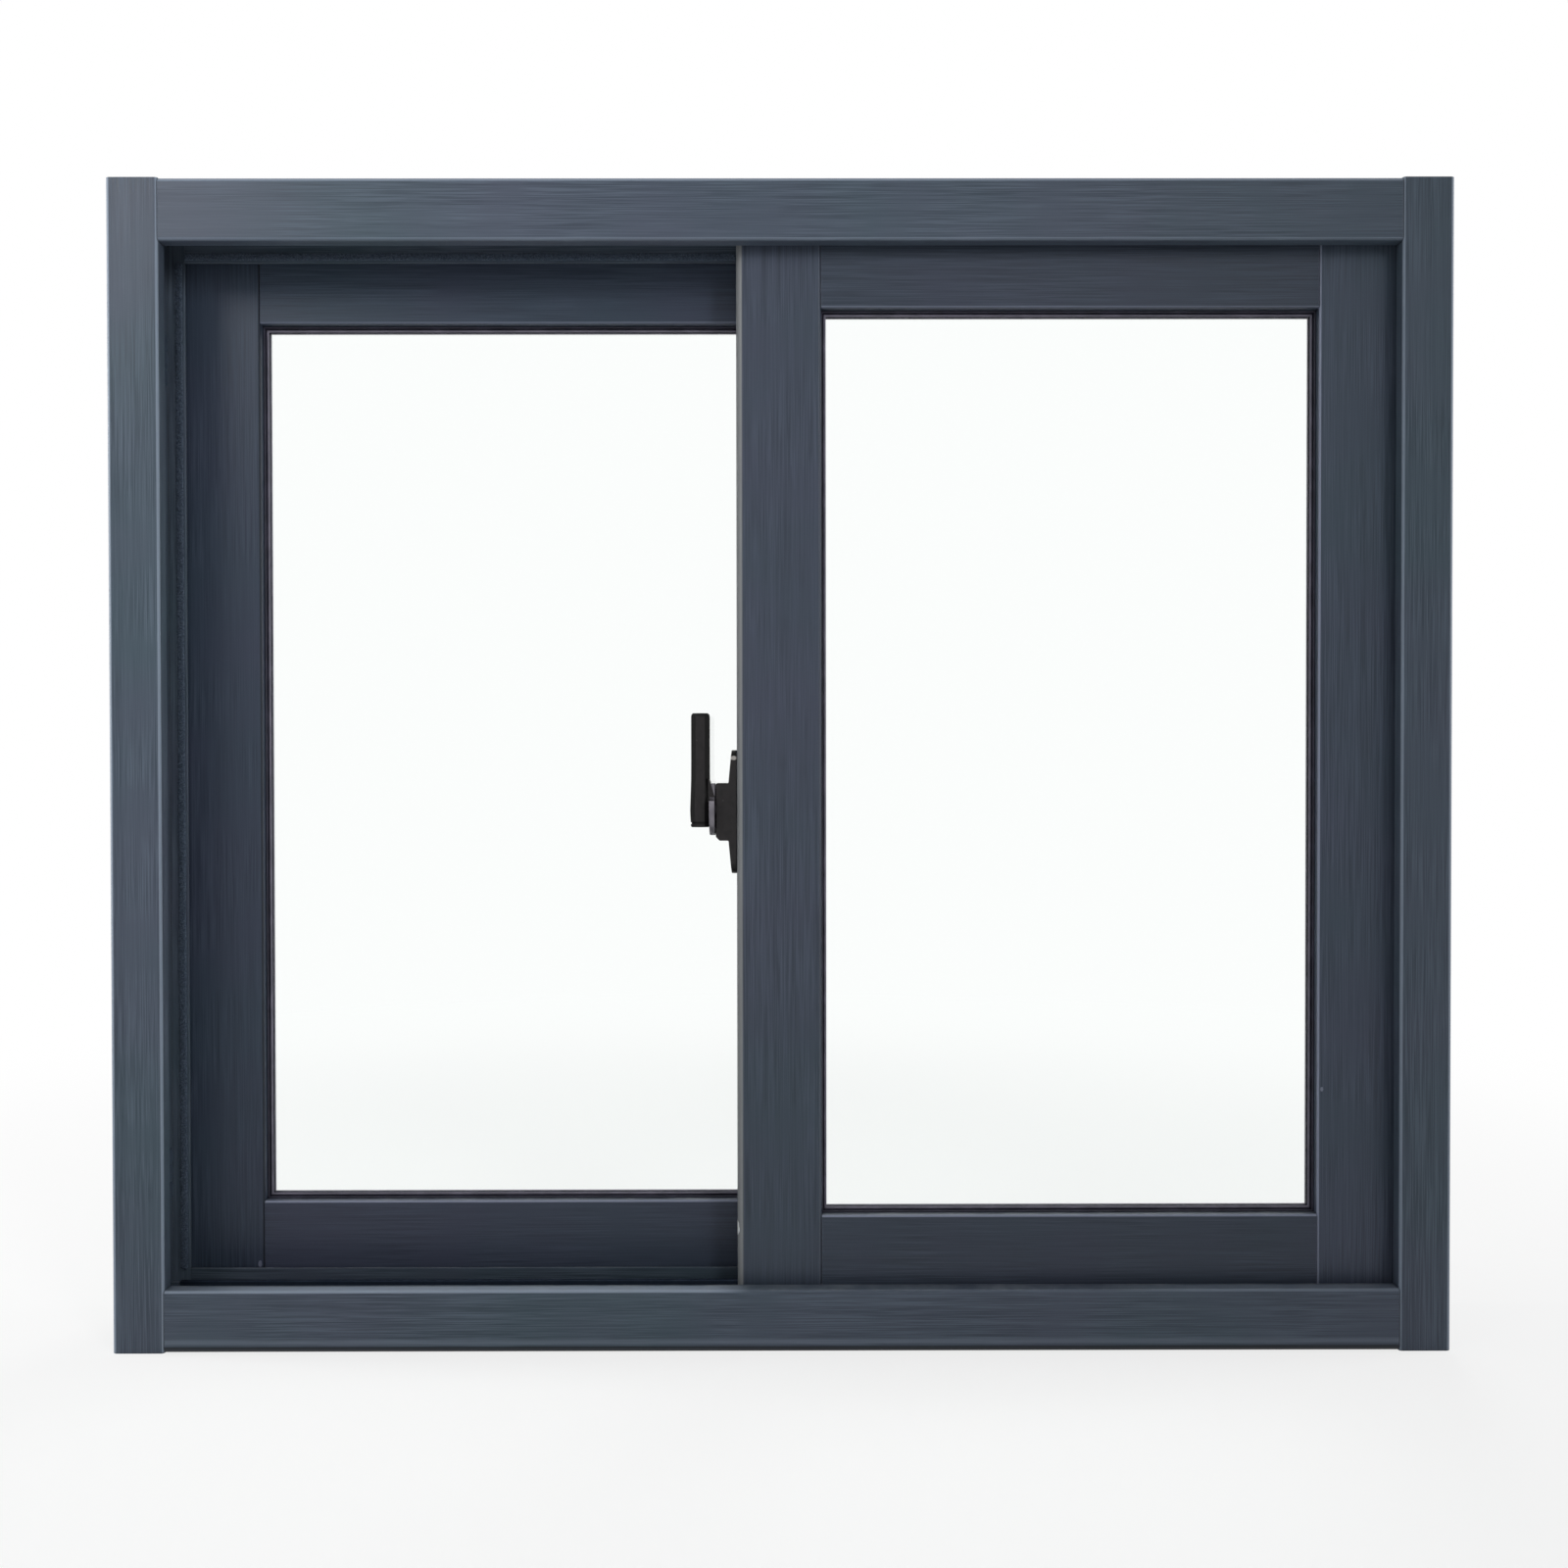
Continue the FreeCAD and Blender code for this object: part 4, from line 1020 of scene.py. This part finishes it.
def cam_outline(inset):
    """Outline (y, z) in mm, drawn in by an inset."""
    cy, cz = CAM_CENTRE
    radius = CAM_RADIUS - inset
    back = CAM_BACK - inset
    rise = math.degrees(math.acos((back - cy) / radius))
    nose = [(y + inset * 0.8, z - inset) for y, z in CAM_NOSE]
    nose_angle = math.degrees(math.atan2(nose[-1][1] - cz, nose[-1][0] - cy))
    upper = arc(cy, cz, radius, rise, NOSE_FROM, 8)
    lower = arc(cy, cz, radius, max(nose_angle, NOSE_TO), 360 - rise, 26)
    return upper + nose + lower


def make_cam():
    outer, inner = cam_outline(0.0), cam_outline(RIM_WIDTH)
    rings = ((outer, CAM_RIGHT), (outer, CAM_LEFT), (inner, CAM_LEFT), (inner, CAM_LEFT + DISH_DEPTH))
    points = [Vector((x, y, z)) * MM for outline, x in rings for y, z in outline]
    name = "lock_crescent"
    cam = new_piece(name, mesh_of(name, points, ring_faces(0, len(rings), len(outer))), finishes["cam"],
                    "lock_cam")
    face_outward(cam)
    round_edges(cam, 0.35, 2, 30)
    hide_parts("lock_cam")


make_lever()
make_cam()


# Bumpers: rubber blocks with three shallow ribs

RIBS = 3


def bumper_section(reach, tall):
    """Outline (u, v) in mm: u out from the jamb, v up."""
    pitch = tall / RIBS
    section = [(0.0, 0.0)]
    for rib in range(RIBS):
        foot = rib * pitch
        middle = foot + pitch / 2
        top = foot + pitch
        section += [(reach - 1.4, foot + 0.05), (reach - 0.9, foot + 0.8)]
        section += arc(reach - 1.6, middle - 3.2, 1.6, 0, 20, 1)
        section += [(reach, middle), (reach - 0.1, top - 3.4), (reach - 0.9, top - 0.8),
                    (reach - 1.4, top - 0.05)]
    return section + [(0.0, tall)]


def make_bumpers(node):
    points, faces = [], []
    for solid in solids_in(node):
        low, high = corners(solid)
        way = 1 if low.x < 0 else -1
        root = low.x if way > 0 else high.x
        section = bumper_section((high.x - low.x) / MM, (high.z - low.z) / MM)
        block = [(root + way * u * MM, y, low.z + v * MM) for y in (low.y, high.y) for u, v in section]
        add_faces(points, faces, block, ring_faces(0, 2, len(section)))
    name = node + "_ribbed"
    blocks = new_piece(name, mesh_of(name, points, faces), finishes["bumper"], node)
    face_outward(blocks)
    smooth_under(blocks, 30)
    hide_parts(node)


for node in ("left_bumpers", "right_bumpers"):
    make_bumpers(node)


# Stage, lamps and camera

WHITE = (1.0, 1.0, 1.0, 1.0)
FLOOR_REACH = 14.0
FLOOR_DROP = 0.2 * MM
FLOOR_FADE = (0.5, 1.9)
FLOOR_GLOW = 0.76
DAYLIGHT = (0.93, 0.96, 1.0, 1.0)
DAYLIGHT_STRENGTH = 0.37
SOFTBOXES = (
    # name, place and aim in metres, width and height, watts, spread in degrees, whether gloss shows it
    ("upper left", (-1.12, -1.2, 1.45), (-0.5, 0, 0.85), 0.5, 0.5, 1.2, 70, True),
    ("upper right", (1.05, -2.0, 1.6), (0.35, 0, 0.85), 0.5, 0.5, 0.3, 50, False),
    ("right fill", (0.9, -1.9, 1.3), (-0.5, 0, 0.6), 0.5, 0.8, 1.7, 50, False),
    ("low card", (-0.25, -1.5, 0.12), (-0.25, 0, 0.9), 0.8, 0.3, 0.45, 60, False),
    ("left strip", (-1.9, 0.08, 0.75), (-0.5, 0.05, 0.5), 0.3, 1.3, 19, 180, True),
    ("right side", (2.0, 0.25, 0.9), (0.5, 0, 0.45), 0.6, 1.0, 11, 180, True),
    ("behind", (0.7, 2.3, 1.6), (0, 0, 0.45), 1.2, 1.2, 22, 180, True),
)


def seen_ray(tree):
    """1 for rays from the camera, off gloss and through glass."""
    path = place_node(tree, "ShaderNodeLightPath").outputs
    share = calculate(tree, "ADD", path["Is Camera Ray"], path["Is Glossy Ray"], clamp=True)
    return calculate(tree, "ADD", share, path["Is Transmission Ray"], clamp=True)


def make_floor():
    """Pale floor that keeps the window's shadow near by and fades to white further off."""
    reach = FLOOR_REACH
    square = [(-reach, -reach, 0), (reach, -reach, 0), (reach, reach, 0), (-reach, reach, 0)]
    mesh = mesh_of("floor", square, [(0, 1, 2, 3)])
    floor = bpy.data.objects.new("floor", mesh)
    scene.collection.objects.link(floor)
    floor.location.z = cad_low.z - FLOOR_DROP
    paint = bpy.data.materials.new("pale floor")
    paint.use_nodes = True
    tree = paint.node_tree
    skin = tree.nodes["Principled BSDF"]
    skin.inputs["Base Color"].default_value = shade(236, 236, 234)
    skin.inputs["Roughness"].default_value = 0.9
    skin.inputs["Specular IOR Level"].default_value = 0.1
    position = surface(tree, "Position")
    away = place_node(tree, "ShaderNodeVectorMath", {0: position}, operation="LENGTH").outputs["Value"]
    fade = remap(tree, away, *FLOOR_FADE)
    glow = place_node(tree, "ShaderNodeEmission", {"Color": WHITE, "Strength": 1.0}).outputs[0]
    share = multiply(tree, remap(tree, fade, 0.0, 1.0, FLOOR_GLOW, 1.0), seen_ray(tree))
    joined = place_node(tree, "ShaderNodeMixShader", {0: share, 1: skin.outputs[0], 2: glow}).outputs[0]
    tree.links.new(joined, tree.nodes["Material Output"].inputs["Surface"])
    mesh.materials.append(paint)


def make_surroundings():
    """Soft daylight on the window, and plain white where the camera, gloss or glass sees past it."""
    world = bpy.data.worlds.new("surroundings")
    world.use_nodes = True
    tree = world.node_tree
    tree.nodes.clear()
    light = place_node(tree, "ShaderNodeBackground", {"Color": DAYLIGHT, "Strength": DAYLIGHT_STRENGTH})
    seen = place_node(tree, "ShaderNodeBackground", {"Color": WHITE, "Strength": 1.0})
    joined = place_node(tree, "ShaderNodeMixShader", {
        0: seen_ray(tree), 1: light.outputs[0], 2: seen.outputs[0]}).outputs[0]
    output = place_node(tree, "ShaderNodeOutputWorld")
    tree.links.new(joined, output.inputs["Surface"])
    scene.world = world


def add_softbox(name, place, aim, width, height, watts, spread, mirrored):
    lamp = bpy.data.lights.new(name, "AREA")
    lamp.shape = "RECTANGLE"
    lamp.size = width
    lamp.size_y = height
    lamp.energy = watts
    lamp.spread = math.radians(spread)
    softbox = bpy.data.objects.new(name, lamp)
    scene.collection.objects.link(softbox)
    softbox.location = place
    softbox.rotation_euler = (Vector(aim) - Vector(place)).to_track_quat("-Z", "Y").to_euler()
    softbox.visible_camera = False
    softbox.visible_transmission = False
    softbox.visible_glossy = mirrored


def add_camera():
    lens = bpy.data.cameras.new("photo view")
    lens.sensor_width = SENSOR_MM
    lens.lens = SENSOR_MM * FOCAL_PX / PICTURE_PX
    lens.clip_end = 60.0
    viewer = bpy.data.objects.new("photo view", lens)
    scene.collection.objects.link(viewer)
    viewer.location = CAMERA_AT
    viewer.rotation_euler = (math.pi / 2 - CAMERA_TILT, CAMERA_ROLL, CAMERA_PAN)
    scene.camera = viewer


make_floor()
make_surroundings()
for softbox in SOFTBOXES:
    add_softbox(*softbox)
add_camera()
scene.view_settings.view_transform = "Standard"
